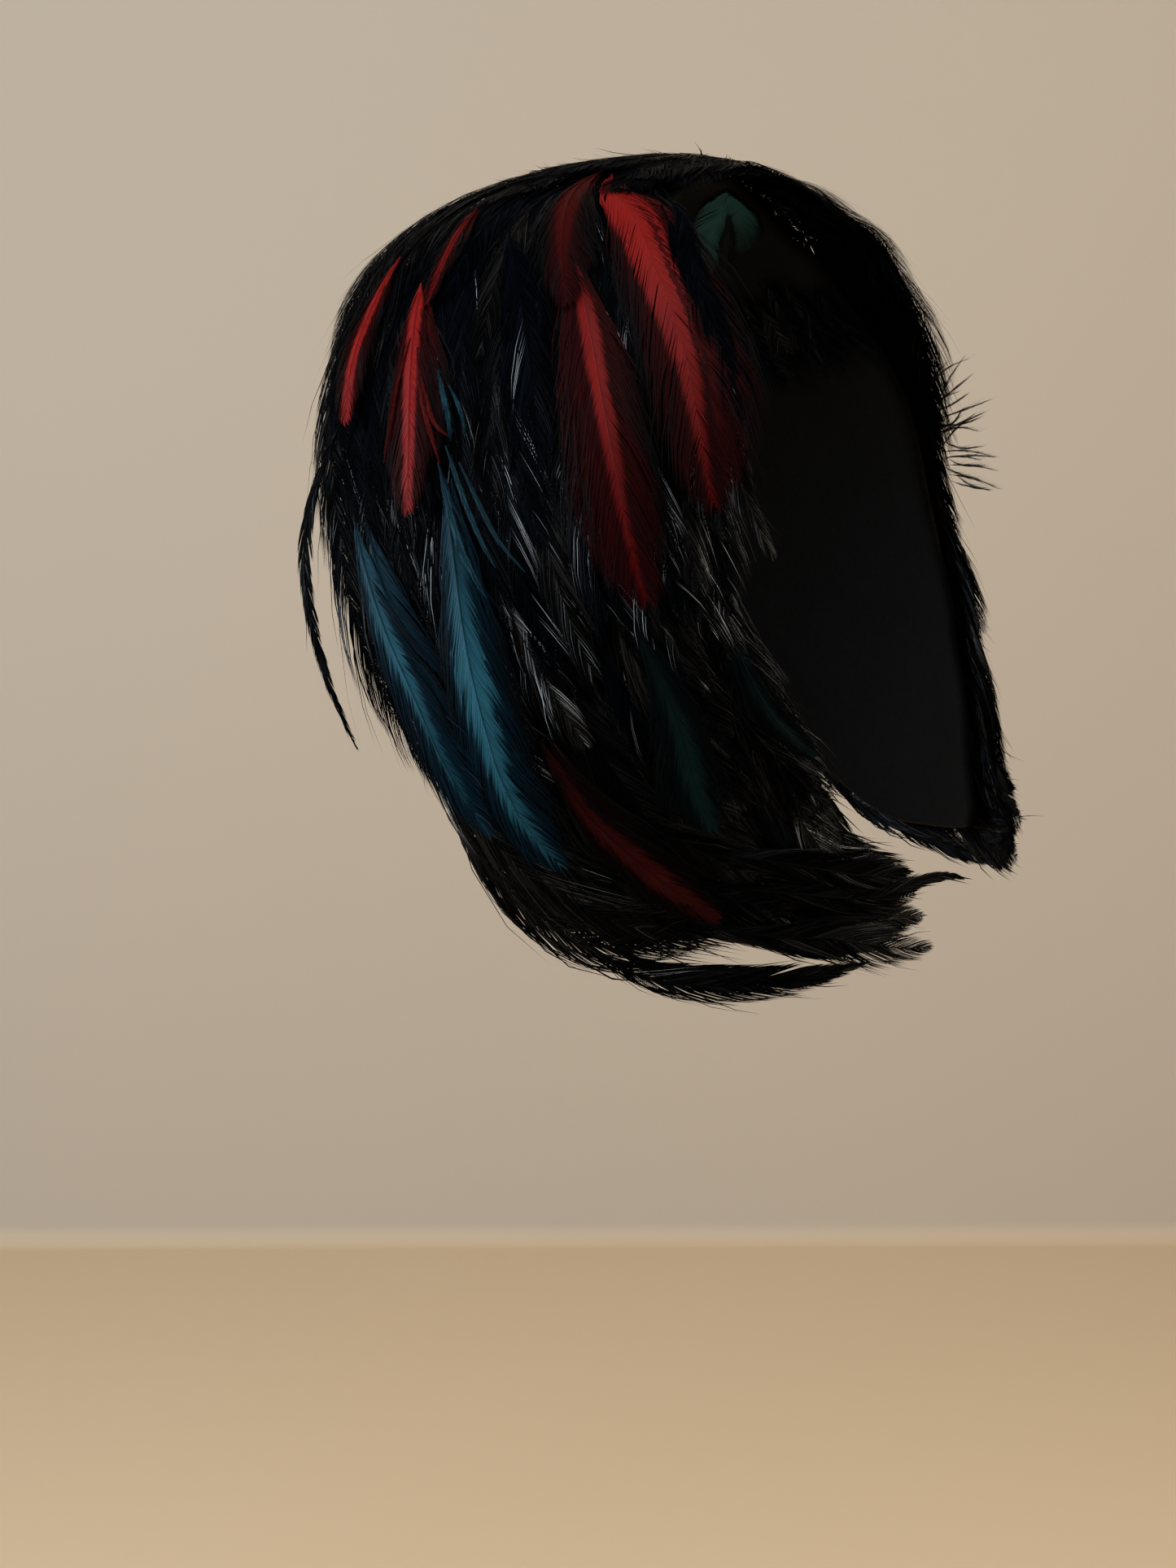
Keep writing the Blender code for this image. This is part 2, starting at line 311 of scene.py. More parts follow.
# Where a feather's barbs and shaft lie in its square of the map for baking
MAP_HALF_WIDTH = 0.47
MAP_BARB_START = 0.06
MAP_SHAFT = 0.012
MAP_MARGIN = 0.02
MAP_BARB_EDGE = 0.4


def by_length(table, at):
    """Each feather's values at places along it, from its row of values at even steps."""
    last = table.shape[1] - 1
    index = np.clip((at * last).astype(int), 0, last - 1)
    feather = np.arange(len(table)).reshape(-1, *[1] * (at.ndim - 1))
    share = (at * last - index).reshape(*at.shape, *[1] * (table.ndim - 2))
    return table[feather, index] * (1 - share) + table[feather, index + 1] * share


def along_line(lines, place):
    """Centre, tangent and side vectors at places along each line; past its end a line runs straight on."""
    steps = np.diff(lines, axis=1)
    tangents = np.concatenate([steps[:, :1], (steps[:, 1:] + steps[:, :-1]) / 2, steps[:, -1:]], 1)
    tangent = by_length(tangents, np.clip(place, 0, 1))[..., :2]
    tangent = tangent / np.linalg.norm(tangent, axis=-1, keepdims=True)
    return by_length(lines, place), tangent, np.stack([-tangent[..., 1], tangent[..., 0]], -1)


def stacked(shape, *looks):
    """Each look's values side by side, spread to one shape."""
    return [np.stack([np.broadcast_to(value, shape) for value in look], -1) for look in looks]


class Vanes:
    """The barbs of a piece's feathers, in arrays by feather, side of its shaft, barb and stop along it."""

    def __init__(self, plumes, barbs):
        self.plumes = plumes
        self.rng = plumes.rng
        self.lines = np.array(plumes.lines)
        self.shape = (len(self.lines), 2, barbs, 1)
        self.sign = np.array([-1.0, 1.0]).reshape(1, 2, 1, 1) * np.ones(self.shape)
        self.half = self.look("width") / 2
        self.place_roots()
        self.part_into_clumps()
        self.turn_to_light()

    def look(self, key):
        """One look of every feather, to be spread over its barbs."""
        return self.plumes.column(key)[:, None, None, None]

    def place_roots(self):
        """Where barbs start along the shaft, and how far across an even one reaches."""
        barbs = self.shape[2]
        start, point = self.look("start"), self.look("point")
        order = (np.arange(barbs)[:, None] + 0.5) / barbs
        jitter = self.rng.uniform(-ROOT_JITTER, ROOT_JITTER, self.shape)
        self.root = between(start, 1, order + jitter / barbs)
        opening = np.clip(self.root / self.look("fullness"), 0, 1) ** OPENING_BEND
        past = np.clip((self.root - point) / (1 - point), 0, 1)
        self.reach = self.half * opening * (1 - past ** CLOSING_BEND * (1 - self.look("tip")))

    def by_clump(self, draws):
        """The draws of each barb's clump, out of CLUMP_DRAWS for each side of each feather."""
        count, sides = self.shape[:2]
        feather, side = np.arange(count)[:, None, None], np.arange(sides)[None, :, None]
        return draws[feather, side, self.clump[..., 0] % CLUMP_DRAWS]

    def part_into_clumps(self):
        """How far barbs reach across and lean along the feather: together by clumps, and a few astray."""
        count, sides, barbs, _ = self.shape
        clumps, loose, sweep = self.look("clumps"), self.look("loose"), self.look("sweep")
        phase = self.rng.uniform(0, 1, (count, sides, 1, 1))
        wave = np.sin(2 * math.pi * (self.root * clumps * CLUMP_WAVE_TURNS + phase))
        place = self.root * clumps + CLUMP_WAVE * wave + CLUMP_OFFSET * phase
        self.clump = np.floor(place).astype(int)
        together = self.by_clump(self.rng.normal(0, 1, (count, sides, CLUMP_DRAWS, 3)))
        self.together = together = np.split(together, 3, -1)
        self.stray = self.rng.uniform(0, 1, self.shape) < self.look("stray")
        self.alone = alone = np.split(self.rng.normal(0, 1, (count, sides, barbs, 5)), 5, -1)

        own, shared, astray = UNEVEN_REACH
        self.reach = self.reach * (1 + own * alone[0] + shared * loose * together[0]
                                   + astray * self.stray * np.abs(alone[1]))
        own, shared, astray = UNEVEN_SWEEP
        sweep = between(sweep, self.look("tip_sweep"), self.root ** 2)
        sweep = sweep * (1 + own * alone[2] + shared * loose * together[1] - astray * self.stray * alone[3])
        steps = np.linalg.norm(np.diff(self.lines[..., :2], axis=1), axis=-1)
        self.length = steps.sum(1)[:, None, None, None]
        advance = (self.reach * sweep + FIRST_LEAN) / self.length
        advance = advance + loose * (0.5 - (place - self.clump)) / clumps * CLUMP_PULL
        room = VANE_END - self.root
        self.advance = room * (1 - np.exp(-np.maximum(advance, LEAST_LEAN) / room))

    def turn_to_light(self):
        """The barbs that glint, how all of them roll, and how wide and how light they are."""
        luck = self.by_clump(self.rng.uniform(-1, 1, (*self.shape[:2], CLUMP_DRAWS, 1)))
        chosen = self.rng.uniform(0, 1, self.shape) < GLINTS_PER_CLUMP
        self.glints = (np.abs(luck) < self.look("glint")) & chosen
        self.turned = self.glints * np.sign(luck) * self.rng.normal(*GLINT_TURN, self.shape)
        self.rolled = self.rng.normal(0, 1, self.shape)
        uneven = 1 + UNEVEN_WIDTH * self.rng.normal(0, 1, self.shape)
        self.breadth = uneven - self.look("thin") * smooth(self.root, *THINNING)
        own, shared = TONE_SHARES
        tone = own * self.rng.uniform(0, 1, self.shape)
        tone = (tone + shared * (0.5 + 0.5 * np.tanh(self.together[1]))) * DULL_TONE
        self.tone = np.where(self.glints, self.rng.uniform(DULL_TONE, 1, self.shape), tone)

    def heights(self, out):
        """How far barbs rise over the shaft at distances out from it, and how the vane slopes there."""
        camber = self.look("camber")
        fall = -camber * out ** 2 / self.half
        slope = -2 * camber * out / self.half * self.sign
        own, shared, astray = UNEVEN_LOFT
        uneven = self.together[2] * shared + self.alone[4] * own
        lift = self.look("loft") * uneven * BARB_STOPS ** RISE_BEND
        lift = lift + self.stray * np.abs(self.alone[1]) * astray * BARB_STOPS ** 2
        lift = lift + self.glints * GLINT_LIFT * smooth(BARB_STOPS, *GLINT_LIFTED)
        return fall + lift, slope

    def roll(self):
        """How far each barb is turned about its own length."""
        own, shared = UNEVEN_ROLL
        bend = BARB_STOPS ** RISE_BEND
        uneven = self.rolled * (own + bend) + self.together[0] * shared * bend
        return self.look("roll") * uneven + self.turned * smooth(BARB_STOPS, *GLINT_TURNED)

    def ribbons(self):
        """The ribbons' points on the chart, two at each stop and one at the tip, and the looks there."""
        along = self.root + self.advance * BARB_STOPS
        out = self.reach * (1 - (1 - BARB_STOPS) ** BARB_BEND)
        centre, tangent, side = along_line(self.lines, along)
        ahead = self.advance * self.length
        bend = BARB_BEND * np.maximum(1 - BARB_STOPS, LEAST_BEND) ** (BARB_BEND - 1)
        outward = self.sign * self.reach * bend
        size = np.hypot(ahead, outward)
        height, slope = self.heights(out)
        twist = slope * ahead / size + self.roll()
        width = np.maximum(self.look("barb") / 2 * BARB_WIDTHS * self.breadth, 0)
        width = width * np.where(self.glints, GLINT_WIDTH, 1)

        middle = centre.copy()
        middle[..., :2] += side * (self.sign * out)[..., None]
        middle[..., 2] += height
        offset = tangent * (-outward / size)[..., None] + side * (ahead / size)[..., None]
        offset = np.concatenate([offset, twist[..., None]], -1) * width[..., None]
        body = np.stack([middle[..., :-1, :] + offset[..., :-1, :] * end for end in (-1, 1)], -2)
        body = body.reshape(*self.shape[:3], -1, 3)
        points = np.concatenate([body, middle[..., -1:, :]], -2)
        return points, *self.ribbon_looks(along, out)

    def ribbon_looks(self, along, out):
        """The vane, strand and dye values and the places on the map, at each point of the ribbons."""
        def per_point(values):
            values = np.broadcast_to(values, along.shape)
            return np.concatenate([np.repeat(values[..., :-1], 2, -1), values[..., -1:]], -1)

        barbs = self.shape[2]
        along_share, barb_share = per_point(along), per_point(BARB_STOPS)
        edge = np.append(np.tile([-1.0, 1.0], len(BARB_STOPS) - 1), 0.0)
        vane = (along_share, per_point(self.sign * out / self.half), per_point(self.tone))
        strand = (edge, barb_share, self.look("tone"))
        place = np.clip(along_share, 0, 1)
        stripe, bright = (by_length(self.plumes.column(key), place) for key in ("stripe", "bright"))
        map_u = 0.5 + MAP_HALF_WIDTH * self.sign * between(MAP_BARB_START, 1, barb_share)
        barb = np.arange(barbs)[:, None] + 0.5 + MAP_BARB_EDGE * edge
        map_v = between(MAP_MARGIN, 1 - MAP_MARGIN, barb / barbs)
        return stacked(along_share.shape, vane, strand, (stripe, bright, self.look("dark")), (map_u, map_v))


def shafts(plumes, lines):
    """A narrow roof along each feather's centre line: its points and the looks there."""
    share = np.linspace(0, SHAFT_END, SHAFT_ROWS)
    centre, _, side = along_line(lines, np.broadcast_to(share, (len(lines), SHAFT_ROWS)))
    width = plumes.column("quill")[:, None] / 2 * (1 - SHAFT_TAPER * share)
    section = []
    for end, lift in SHAFT_SECTION:
        point = centre.copy()
        point[..., :2] += side * (end * width)[..., None]
        point[..., 2] += lift * width / SHAFT_HALF_WIDTH + SHAFT_GAP
        section.append(point)
    points = np.stack(section, -2).reshape(len(lines), -1, 3)

    along = np.broadcast_to(np.repeat(share, len(SHAFT_SECTION)), points.shape[:-1])
    ends = np.tile([float(end) for end, _ in SHAFT_SECTION], SHAFT_ROWS)
    tone, dark, shaft = (plumes.column(key)[:, None] for key in ("tone", "dark", "shaft"))
    striped = (plumes.column("stripe").max(1) > 0)[:, None]
    lit = shaft * by_length(plumes.column("bright"), along)
    place = (0.5 + MAP_SHAFT * ends, between(MAP_MARGIN, 1 - MAP_MARGIN, along))
    looks = stacked(along.shape, (along, 0, 0.5), (ends, 0, tone), (striped, lit, dark), place)
    return points, *looks


def barb_cells():
    """Quads along a ribbon and the triangle at its point."""
    last = 2 * (len(BARB_STOPS) - 2)
    quads = [(at, at + 2, at + 3, at + 1) for at in range(0, last, 2)]
    return last + 3, quads, [(last, last + 2, last + 1)]


def shaft_cells():
    """Two quads for each step along a shaft."""
    sides = len(SHAFT_SECTION)
    starts = [row * sides + column for row in range(SHAFT_ROWS - 1) for column in range(sides - 1)]
    return SHAFT_ROWS * sides, [(at, at + sides, at + sides + 1, at + 1) for at in starts], []


def gathered(parts):
    """The points, looks and cells of every part, with the cells repeated over each part's blocks."""
    columns, quads, triangles = [], [], []
    first = 0
    for *values, (block, block_quads, block_triangles) in parts:
        columns.append([value.reshape(-1, value.shape[-1]) for value in values])
        size = len(columns[-1][0])
        starts = first + np.arange(0, size, block)[:, None, None]
        quads.append((starts + np.array(block_quads, int).reshape(1, -1, 4)).reshape(-1, 4))
        triangles.append((starts + np.array(block_triangles, int).reshape(1, -1, 3)).reshape(-1, 3))
        first += size
    return [np.concatenate(rows) for rows in (*zip(*columns), quads, triangles)]


def plume_mesh(name, plumes, material, barbs):
    """One mesh of every feather in a piece: a shaft, and barbs as thin ribbons on both of its sides."""
    vanes = Vanes(plumes, barbs)
    parts = [(*vanes.ribbons(), barb_cells()), (*shafts(plumes, vanes.lines), shaft_cells())]
    count = len(vanes.lines)
    grid = math.ceil(math.sqrt(count))
    cell = np.arange(count)
    corner = np.stack([cell % grid, cell // grid], -1)
    for part in parts:
        place = part[-2]
        place += corner.reshape(count, *[1] * (place.ndim - 2), 2)
        place /= grid
    chart, vane, strand, dye, uv, quads, triangles = gathered(parts)
    looks = {"vane": vane, "strand": strand, "dye": dye}
    points = form_points(chart, plumes.side)
    return write_mesh(name, points, quads, triangles, plumes.side == LEFT, looks, uv, material)


def write_mesh(name, points, quads, triangles, flipped, looks, uv, material):
    """A mesh object of these points and cells, with its looks as attributes and a map for baking."""
    if flipped:
        quads, triangles = quads[:, ::-1], triangles[:, ::-1]
    corners = np.concatenate([quads.ravel(), triangles.ravel()]).astype(np.int32)
    sizes = np.concatenate([np.full(len(quads), 4), np.full(len(triangles), 3)])
    mesh = bpy.data.meshes.new(name)
    mesh.vertices.add(len(points))
    mesh.vertices.foreach_set("co", points.astype(np.float32).ravel())
    mesh.loops.add(len(corners))
    mesh.loops.foreach_set("vertex_index", corners)
    mesh.polygons.add(len(sizes))
    mesh.polygons.foreach_set("loop_start", np.concatenate([[0], np.cumsum(sizes)[:-1]]).astype(np.int32))
    layer = mesh.uv_layers.new(name="OFBake")
    layer.uv.foreach_set("vector", uv[corners].astype(np.float32).ravel())
    for key, values in looks.items():
        attribute = mesh.attributes.new(key, "FLOAT_VECTOR", "POINT")
        attribute.data.foreach_set("vector", values.astype(np.float32).ravel())
    mesh.update(calc_edges=True)
    mesh.validate()
    mesh.shade_smooth()
    mesh.materials.append(material)
    piece = bpy.data.objects.new(name, mesh)
    bpy.context.scene.collection.objects.link(piece)
    return piece


def settle(piece, node):
    """The piece rides on the hat's one body, in place of a node of the CAD part."""
    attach(piece, "root")
    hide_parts(node)


class Nodes:
    """Short calls for building a material's node tree."""

    def __init__(self, name):
        self.material = bpy.data.materials.new(name)
        self.material.use_nodes = True
        self.tree = self.material.node_tree
        self.shader = self.tree.nodes["Principled BSDF"]

    def put(self, socket, value):
        if isinstance(value, bpy.types.NodeSocket):
            self.tree.links.new(value, socket)
        else:
            socket.default_value = value

    def add(self, kind, settings=None, inputs=None):
        node = self.tree.nodes.new(kind)
        for key, value in (settings or {}).items():
            setattr(node, key, value)
        for key, value in (inputs or {}).items():
            self.put(node.inputs[key], value)
        return node

    def math(self, operation, first, second=0.0, third=0.0, clamp=False):
        settings = {"operation": operation, "use_clamp": clamp}
        return self.add("ShaderNodeMath", settings, {0: first, 1: second, 2: third}).outputs[0]

    def times(self, first, second, clamp=False):
        return self.math("MULTIPLY", first, second, clamp=clamp)

    def plus(self, first, second):
        return self.math("ADD", first, second)

    def less(self, first, second, clamp=False):
        return self.math("SUBTRACT", first, second, clamp=clamp)

    def power(self, value, exponent):
        return self.math("POWER", value, exponent)

    def scaled(self, value, factor, offset):
        """The value times a factor, plus an offset."""
        return self.math("MULTIPLY_ADD", value, factor, offset)

    def mix(self, factor, first, second, blend="MIX"):
        settings = {"data_type": "RGBA", "blend_type": blend}
        return self.add("ShaderNodeMix", settings, {0: factor, 6: first, 7: second}).outputs[2]

    def ramp(self, factor, stops):
        node = self.add("ShaderNodeValToRGB", None, {0: factor})
        elements = node.color_ramp.elements
        while len(elements) < len(stops):
            elements.new(0.5)
        for element, (position, colour) in zip(elements, stops):
            element.position = position
            element.color = (*colour, 1)
        return node.outputs[0]

    def grey(self, value):
        """A colour with the value in all its channels."""
        return self.add("ShaderNodeCombineXYZ", None, {0: value, 1: value, 2: value}).outputs[0]

    def attribute(self, name):
        vector = self.add("ShaderNodeAttribute", {"attribute_name": name}).outputs["Vector"]
        return self.add("ShaderNodeSeparateXYZ", None, {0: vector}).outputs

    def noise(self, scale, detail, vector=None):
        inputs = {"Scale": scale, "Detail": detail}
        if vector is not None:
            inputs["Vector"] = vector
        return self.add("ShaderNodeTexNoise", None, inputs).outputs[0]

    def fade(self, value, full, gone):
        """1 where the value is at full or less, 0 where it is at gone or more."""
        node = self.add("ShaderNodeMapRange", {"interpolation_type": "SMOOTHSTEP"},
                        {0: value, 1: full, 2: gone, 3: 1.0, 4: 0.0})
        return node.outputs[0]

    def bump(self, height, strength, distance):
        inputs = {"Strength": strength, "Distance": distance, "Height": height}
        return self.add("ShaderNodeBump", None, inputs).outputs[0]

    def surface(self, values):
        for key, value in values.items():
            self.put(self.shader.inputs[key], value)
        return self.material


def rgb(red, green, blue):
    return (red, green, blue, 1)


# The blacks of the feathers, from the darkest and bluest to the lightest and brownest
BLACKS = (
    (0.0, (0.0004, 0.0009, 0.0022)),
    (0.4, (0.0008, 0.0012, 0.002)),
    (0.7, (0.0034, 0.003, 0.0028)),
    (1.0, (0.0075, 0.006, 0.0046)),
)
BARB_END_BROWN = rgb(0.012, 0.008, 0.005)
# The pale grey of the highlight painted into the colour of glinting barbs
PAINTED_GLINT_COLOUR = rgb(0.5, 0.55, 0.59)
SHEEN_TINT = rgb(0.75, 0.9, 1.0)
BARB_ROUNDNESS = 0.00012


def black_base(nodes, strand, vane):
    """Black barbs that differ from feather to feather, lighter on barbs of higher tone (the glinting ones
    most, as part of their painted highlight), and thin brown ends.
    """
    base = nodes.ramp(strand[2], BLACKS)
    lighter = nodes.scaled(nodes.power(vane[2], 3.0), 4.5, 0.5)
    toned = nodes.mix(1.0, base, nodes.grey(lighter), "MULTIPLY")
    thin = nodes.times(nodes.power(strand[1], 4.0), nodes.power(strand[2], 2.0))
    return nodes.mix(nodes.times(thin, 0.3), toned, BARB_END_BROWN)


def glint_mask(nodes, vane, strand):
    """Up to 1 on the middle of the few barbs that turn to the light, and 0 on the others: where a highlight
    is painted into their colour and their shine is raised.
    """
    turned = nodes.times(nodes.less(vane[2], DULL_TONE, clamp=True), 1 / (1 - DULL_TONE), clamp=True)
    middle = nodes.times(nodes.times(strand[1], nodes.less(1.0, strand[1])), 4.0)
    return nodes.times(turned, nodes.power(middle, 2.0), clamp=True)


def rounded(nodes, strand, strength):
    """A bump that rounds each barb across its width."""
    height = nodes.less(1.0, nodes.times(strand[0], strand[0]))
    return nodes.bump(height, strength, BARB_ROUNDNESS)


def black_feather():
    """Deep black barbs that hardly shine, apart from the few that glint, which get a painted pale highlight
    in their colour as well as more shine.
    """
    nodes = Nodes("black_feather")
    vane, strand = nodes.attribute("vane"), nodes.attribute("strand")
    glint = glint_mask(nodes, vane, strand)
    # Painted highlight: the middle of each glinting barb is mixed towards pale grey in its base colour
    colour = nodes.mix(nodes.times(glint, 0.9), black_base(nodes, strand, vane), PAINTED_GLINT_COLOUR)
    satin = nodes.scaled(nodes.power(strand[2], 3.0), 1.6, 0.02)
    shine = nodes.times(nodes.power(vane[2], 4.0), satin)
    shine = nodes.plus(nodes.plus(shine, nodes.times(glint, 0.9)), 0.006)
    grazing = nodes.add("ShaderNodeLayerWeight", None, {"Blend": 0.5}).outputs["Facing"]
    shine = nodes.times(shine, nodes.less(1.0, nodes.power(grazing, 2.0)))
    return nodes.surface({
        "Base Color": colour,
        "Roughness": nodes.scaled(nodes.noise(420, 2), 0.16, 0.24),
        "Normal": rounded(nodes, strand, 0.5),
        "Specular Tint": SHEEN_TINT,
        "Specular IOR Level": shine,
    })


# A dye's colours in the stripe, at its bright and its deep streaks, and at the dark edge, how ragged the
# stripe is, and how softly it ends
Dye = namedtuple("Dye", "bright deep edge ragged soft")
DYES = {
    "red": Dye((0.26, 0.008, 0.006), (0.14, 0.004, 0.0035), (0.022, 0.001, 0.001), 0.16, 0.09),
    "blue": Dye((0.03, 0.15, 0.21), (0.01, 0.065, 0.1), (0.002, 0.012, 0.021), 0.55, 0.12),
    "teal": Dye((0.004, 0.024, 0.024), (0.002, 0.012, 0.0125), (0.0014, 0.005, 0.006), 0.5, 0.2),
    "inner_teal": Dye((0.008, 0.062, 0.072), (0.004, 0.034, 0.04), (0.0012, 0.007, 0.008), 0.3, 0.2),
    "rust": Dye((0.075, 0.006, 0.0045), (0.024, 0.0026, 0.0022), (0.007, 0.0013, 0.0012), 0.5, 0.15),
}
DYE_RAGGED = 0.5
DYE_FADE = (-0.45, 0.25)


def dyed_feather(name):
    """A feather whose middle took the dye brightly, and whose fluffy edges stay dark."""
    dye = DYES[name]
    nodes = Nodes(f"{name}_feather")
    vane, strand, (band, bright, reach) = (nodes.attribute(key) for key in ("vane", "strand", "dye"))
    black = black_base(nodes, strand, vane)
    across = nodes.math("ABSOLUTE", vane[1])
    uneven = nodes.less(vane[2], 0.5)
    edge = nodes.plus(across, nodes.times(uneven, dye.ragged))
    stripe = nodes.times(nodes.fade(nodes.less(edge, band), -dye.soft, dye.soft), bright)
    edge = nodes.plus(across, nodes.times(uneven, DYE_RAGGED))
    dyed = nodes.fade(nodes.less(edge, reach), *DYE_FADE)
    streak = nodes.noise(900, 3)
    tone = nodes.less(nodes.scaled(streak, 0.5, nodes.times(vane[2], 0.8)), 0.15, clamp=True)
    lit = nodes.mix(tone, rgb(*dye.deep), rgb(*dye.bright))
    dark = nodes.mix(dyed, black, rgb(*dye.edge))
    dark = nodes.mix(nodes.times(vane[2], 0.5), dark, black)
    return nodes.surface({
        "Base Color": nodes.mix(stripe, dark, lit),
        "Roughness": nodes.scaled(streak, 0.2, 0.36),
        "Normal": rounded(nodes, strand, 0.2),
        "Specular IOR Level": nodes.scaled(stripe, 0.05, 0.02),
    })


def band_cloth():
    """Matte black cloth with a fine nap."""
    nodes = Nodes("band_cloth")
    coordinates = nodes.add("ShaderNodeTexCoord").outputs["Object"]
    nap = nodes.noise(700, 4, coordinates)
    clouds = nodes.noise(60, 3, coordinates)
    colour = nodes.mix(nap, rgb(0.0008, 0.0008, 0.0009), rgb(0.0028, 0.0027, 0.0026))
    height = nodes.plus(nodes.times(nap, 0.7), nodes.noise(2600, 2, coordinates))
    return nodes.surface({
        "Base Color": nodes.mix(nodes.times(clouds, 0.4), colour, rgb(0.0014, 0.0014, 0.0015)),
        "Roughness": nodes.scaled(clouds, 0.15, 0.78),
        "Normal": nodes.bump(height, 0.5, 0.0003),
        "Specular IOR Level": 0.05,
    })


# The rows of black feathers: each starts at its root station, and its feathers end at its reach
Row = namedtuple("Row", "root reach plumes")
ROWS = (
    Row(0.35, 4.6, 50),
    Row(2.0, 6.1, 58),
    Row(3.65, 7.5, 58),
    Row(5.3, 8.9, 52),
    Row(6.95, 9.4, 40),
)
ROW_BARBS = 96
ROOT_STAGGER = 1.45
TIP_STAGGER = 1.65
ROOT_SPREAD = 0.08
REACH_SPREAD = 0.1
LEAST_LENGTH = 1.5
LEFT_TIP_SHORTER = 0.3
ROW_WIDTH = (7.5, 11.5)
LAST_ROW_WIDTH = 0.72
ROW_EDGES = (-0.97, 0.98)
EDGE_INSET = 0.75
DRIFT = 0.04
RISE_STAGGER = 0.9
RISE_SPREAD = 0.15
TIP_RISE_SPREAD = 0.35
ROW_LOOKS = {
    "point": (0.3, 0.5), "tip": (0.05, 0.16), "loose": (0.35, 0.8), "clumps": (8, 15), "camber": (0.08, 0.24),
    "roll": (0.06, 0.22), "tone": (0, 1), "sweep": (4.4, 6.2), "tip_sweep": (7, 10),
}
TONE_BEND = 1.3
GLINT_LEAST = 0.003
GLINT_MOST = 0.17
GLINT_STARTS = (3.6, 5.3)
GLINT_ENDS = (5.8, 7.8)
GLINT_ON_LEFT = 0.4

# Single black feathers within a row. Their paths are station and across.
ExtraPlume = namedtuple("ExtraPlume", "row sides path lift width tone glint barb", defaults=(0.02, 0.34))
EXTRA_PLUMES = [ExtraPlume(*values) for values in (
    (1, BOTH, ((2.2, -0.15), (2.9, 0.02), (3.6, 0.1), (4.5, 0.12)), 1.4, 10, 0.0),
    (1, BOTH, ((0.45, -0.7), (1.2, -0.95), (2.0, -1.05), (2.9, -1.02)), 1.4, 10, 0.3),
    (1, BOTH, ((0.8, -0.55), (1.5, -0.8), (2.2, -0.92), (3.1, -0.93)), 1.4, 9, 0.5),
    (1, (RIGHT,), ((1.5, 0.78), (2.5, 0.88), (3.3, 0.93), (4.1, 0.97)), 1.4, 5, 0.1, 0.02, 0.3),
    (1, (RIGHT,), ((2.1, 0.75), (3.0, 0.87), (3.9, 0.95), (4.7, 1.02)), 1.4, 5, 0.2, 0.02, 0.3),
    (1, (LEFT,), ((0.35, 0.75), (1.1, 1.05), (1.9, 1.15), (2.9, 1.08)), 1.4, 11, 0.6, 0.2, 0.2),
    (1, (LEFT,), ((0.3, 0.85), (1.0, 1.2), (1.7, 1.28), (2.5, 1.1)), 1.4, 9, 0.8, 0.25, 0.15),
    (1, (LEFT,), ((1.2, 0.95), (2.0, 1.16), (2.8, 1.14), (3.6, 1.04)), 1.5, 7, 0.8, 0.25, 0.15),
    (1, (LEFT,), ((2.0, 0.92), (2.8, 1.06), (3.5, 1.06), (4.2, 0.98)), 1.5, 7, 0.8, 0.25, 0.15),
    (1, (LEFT,), ((0.5, 0.62), (1.2, 0.82), (1.9, 0.9), (2.8, 0.88)), -2.5, 11, 0.4),
    (1, (LEFT,), ((0.5, 0.76), (1.1, 0.98), (1.8, 1.05), (2.7, 1.0)), -2.2, 10, 0.4),
    (1, (LEFT,), ((0.8, 0.5), (1.5, 0.72), (2.2, 0.82), (3.1, 0.84)), -2.5, 11, 0.4),
    (1, BOTH, ((0.3, -0.5), (1.0, -0.72), (1.7, -0.85), (2.6, -0.9)), -0.8, 10, 0.4),
    (1, BOTH, ((0.5, -0.4), (1.2, -0.6), (1.9, -0.75), (2.8, -0.82)), -0.8, 10, 0.4),
    (1, BOTH, ((0.2, -0.58), (0.9, -0.78), (1.6, -0.88), (2.5, -0.92)), 0.3, 11, 0.2, 0.02, 0.36),
    (1, BOTH, ((0.8, -0.1), (1.4, -0.22), (2.0, -0.3), (2.9, -0.36)), 1.1, 11, 0.1, 0.02, 0.36),
    (1, BOTH, ((0.8, -0.3), (1.4, -0.42), (2.0, -0.5), (2.8, -0.56)), 1.2, 11, 0.2, 0.02, 0.36),
    (1, BOTH, ((0.1, -0.66), (0.8, -0.86), (1.5, -0.95), (2.3, -0.97)), 0.8, 10, 0.2, 0.02, 0.36),
    (1, (LEFT,), ((0.2, 0.8), (0.8, 1.02), (1.5, 1.12), (2.4, 1.05)), -1.4, 11, 0.2, 0.02, 0.38),
    (1, (LEFT,), ((0.5, 0.6), (1.2, 0.85), (2.0, 0.98), (3.0, 0.95)), 1.4, 11, 0.3),
    (2, (RIGHT,), ((3.6, 0.85), (4.4, 0.95), (5.1, 1.03), (5.7, 1.12)), 1.4, 5, 0.8, 0.05, 0.3),
    (3, (RIGHT,), ((5.0, -0.2), (5.5, -0.16), (6.0, -0.13), (6.4, -0.12)), 1.4, 6, 0.9, 0.5, 0.3),
    (4, (RIGHT,), ((6.7, 0.66), (7.4, 0.7), (7.9, 0.74), (8.3, 0.77)), 1.4, 5, 0.4, 0.02, 0.3),
    (5, (RIGHT,), ((8.2, -0.2), (8.8, 0.0), (9.3, 0.15), (9.8, 0.45)), 1.4, 6, 0.5, 0.02, 0.3),
    (5, BOTH, ((7.9, 0.55), (8.5, 0.6), (9.0, 0.72), (9.4, 0.9)), 1.4, 5, 0.6, 0.02, 0.3),
)]
EXTRA_LOOK = dict(loose=0.8, stray=0.12, roll=0.12, sweep=4.5, tip_sweep=7.5)

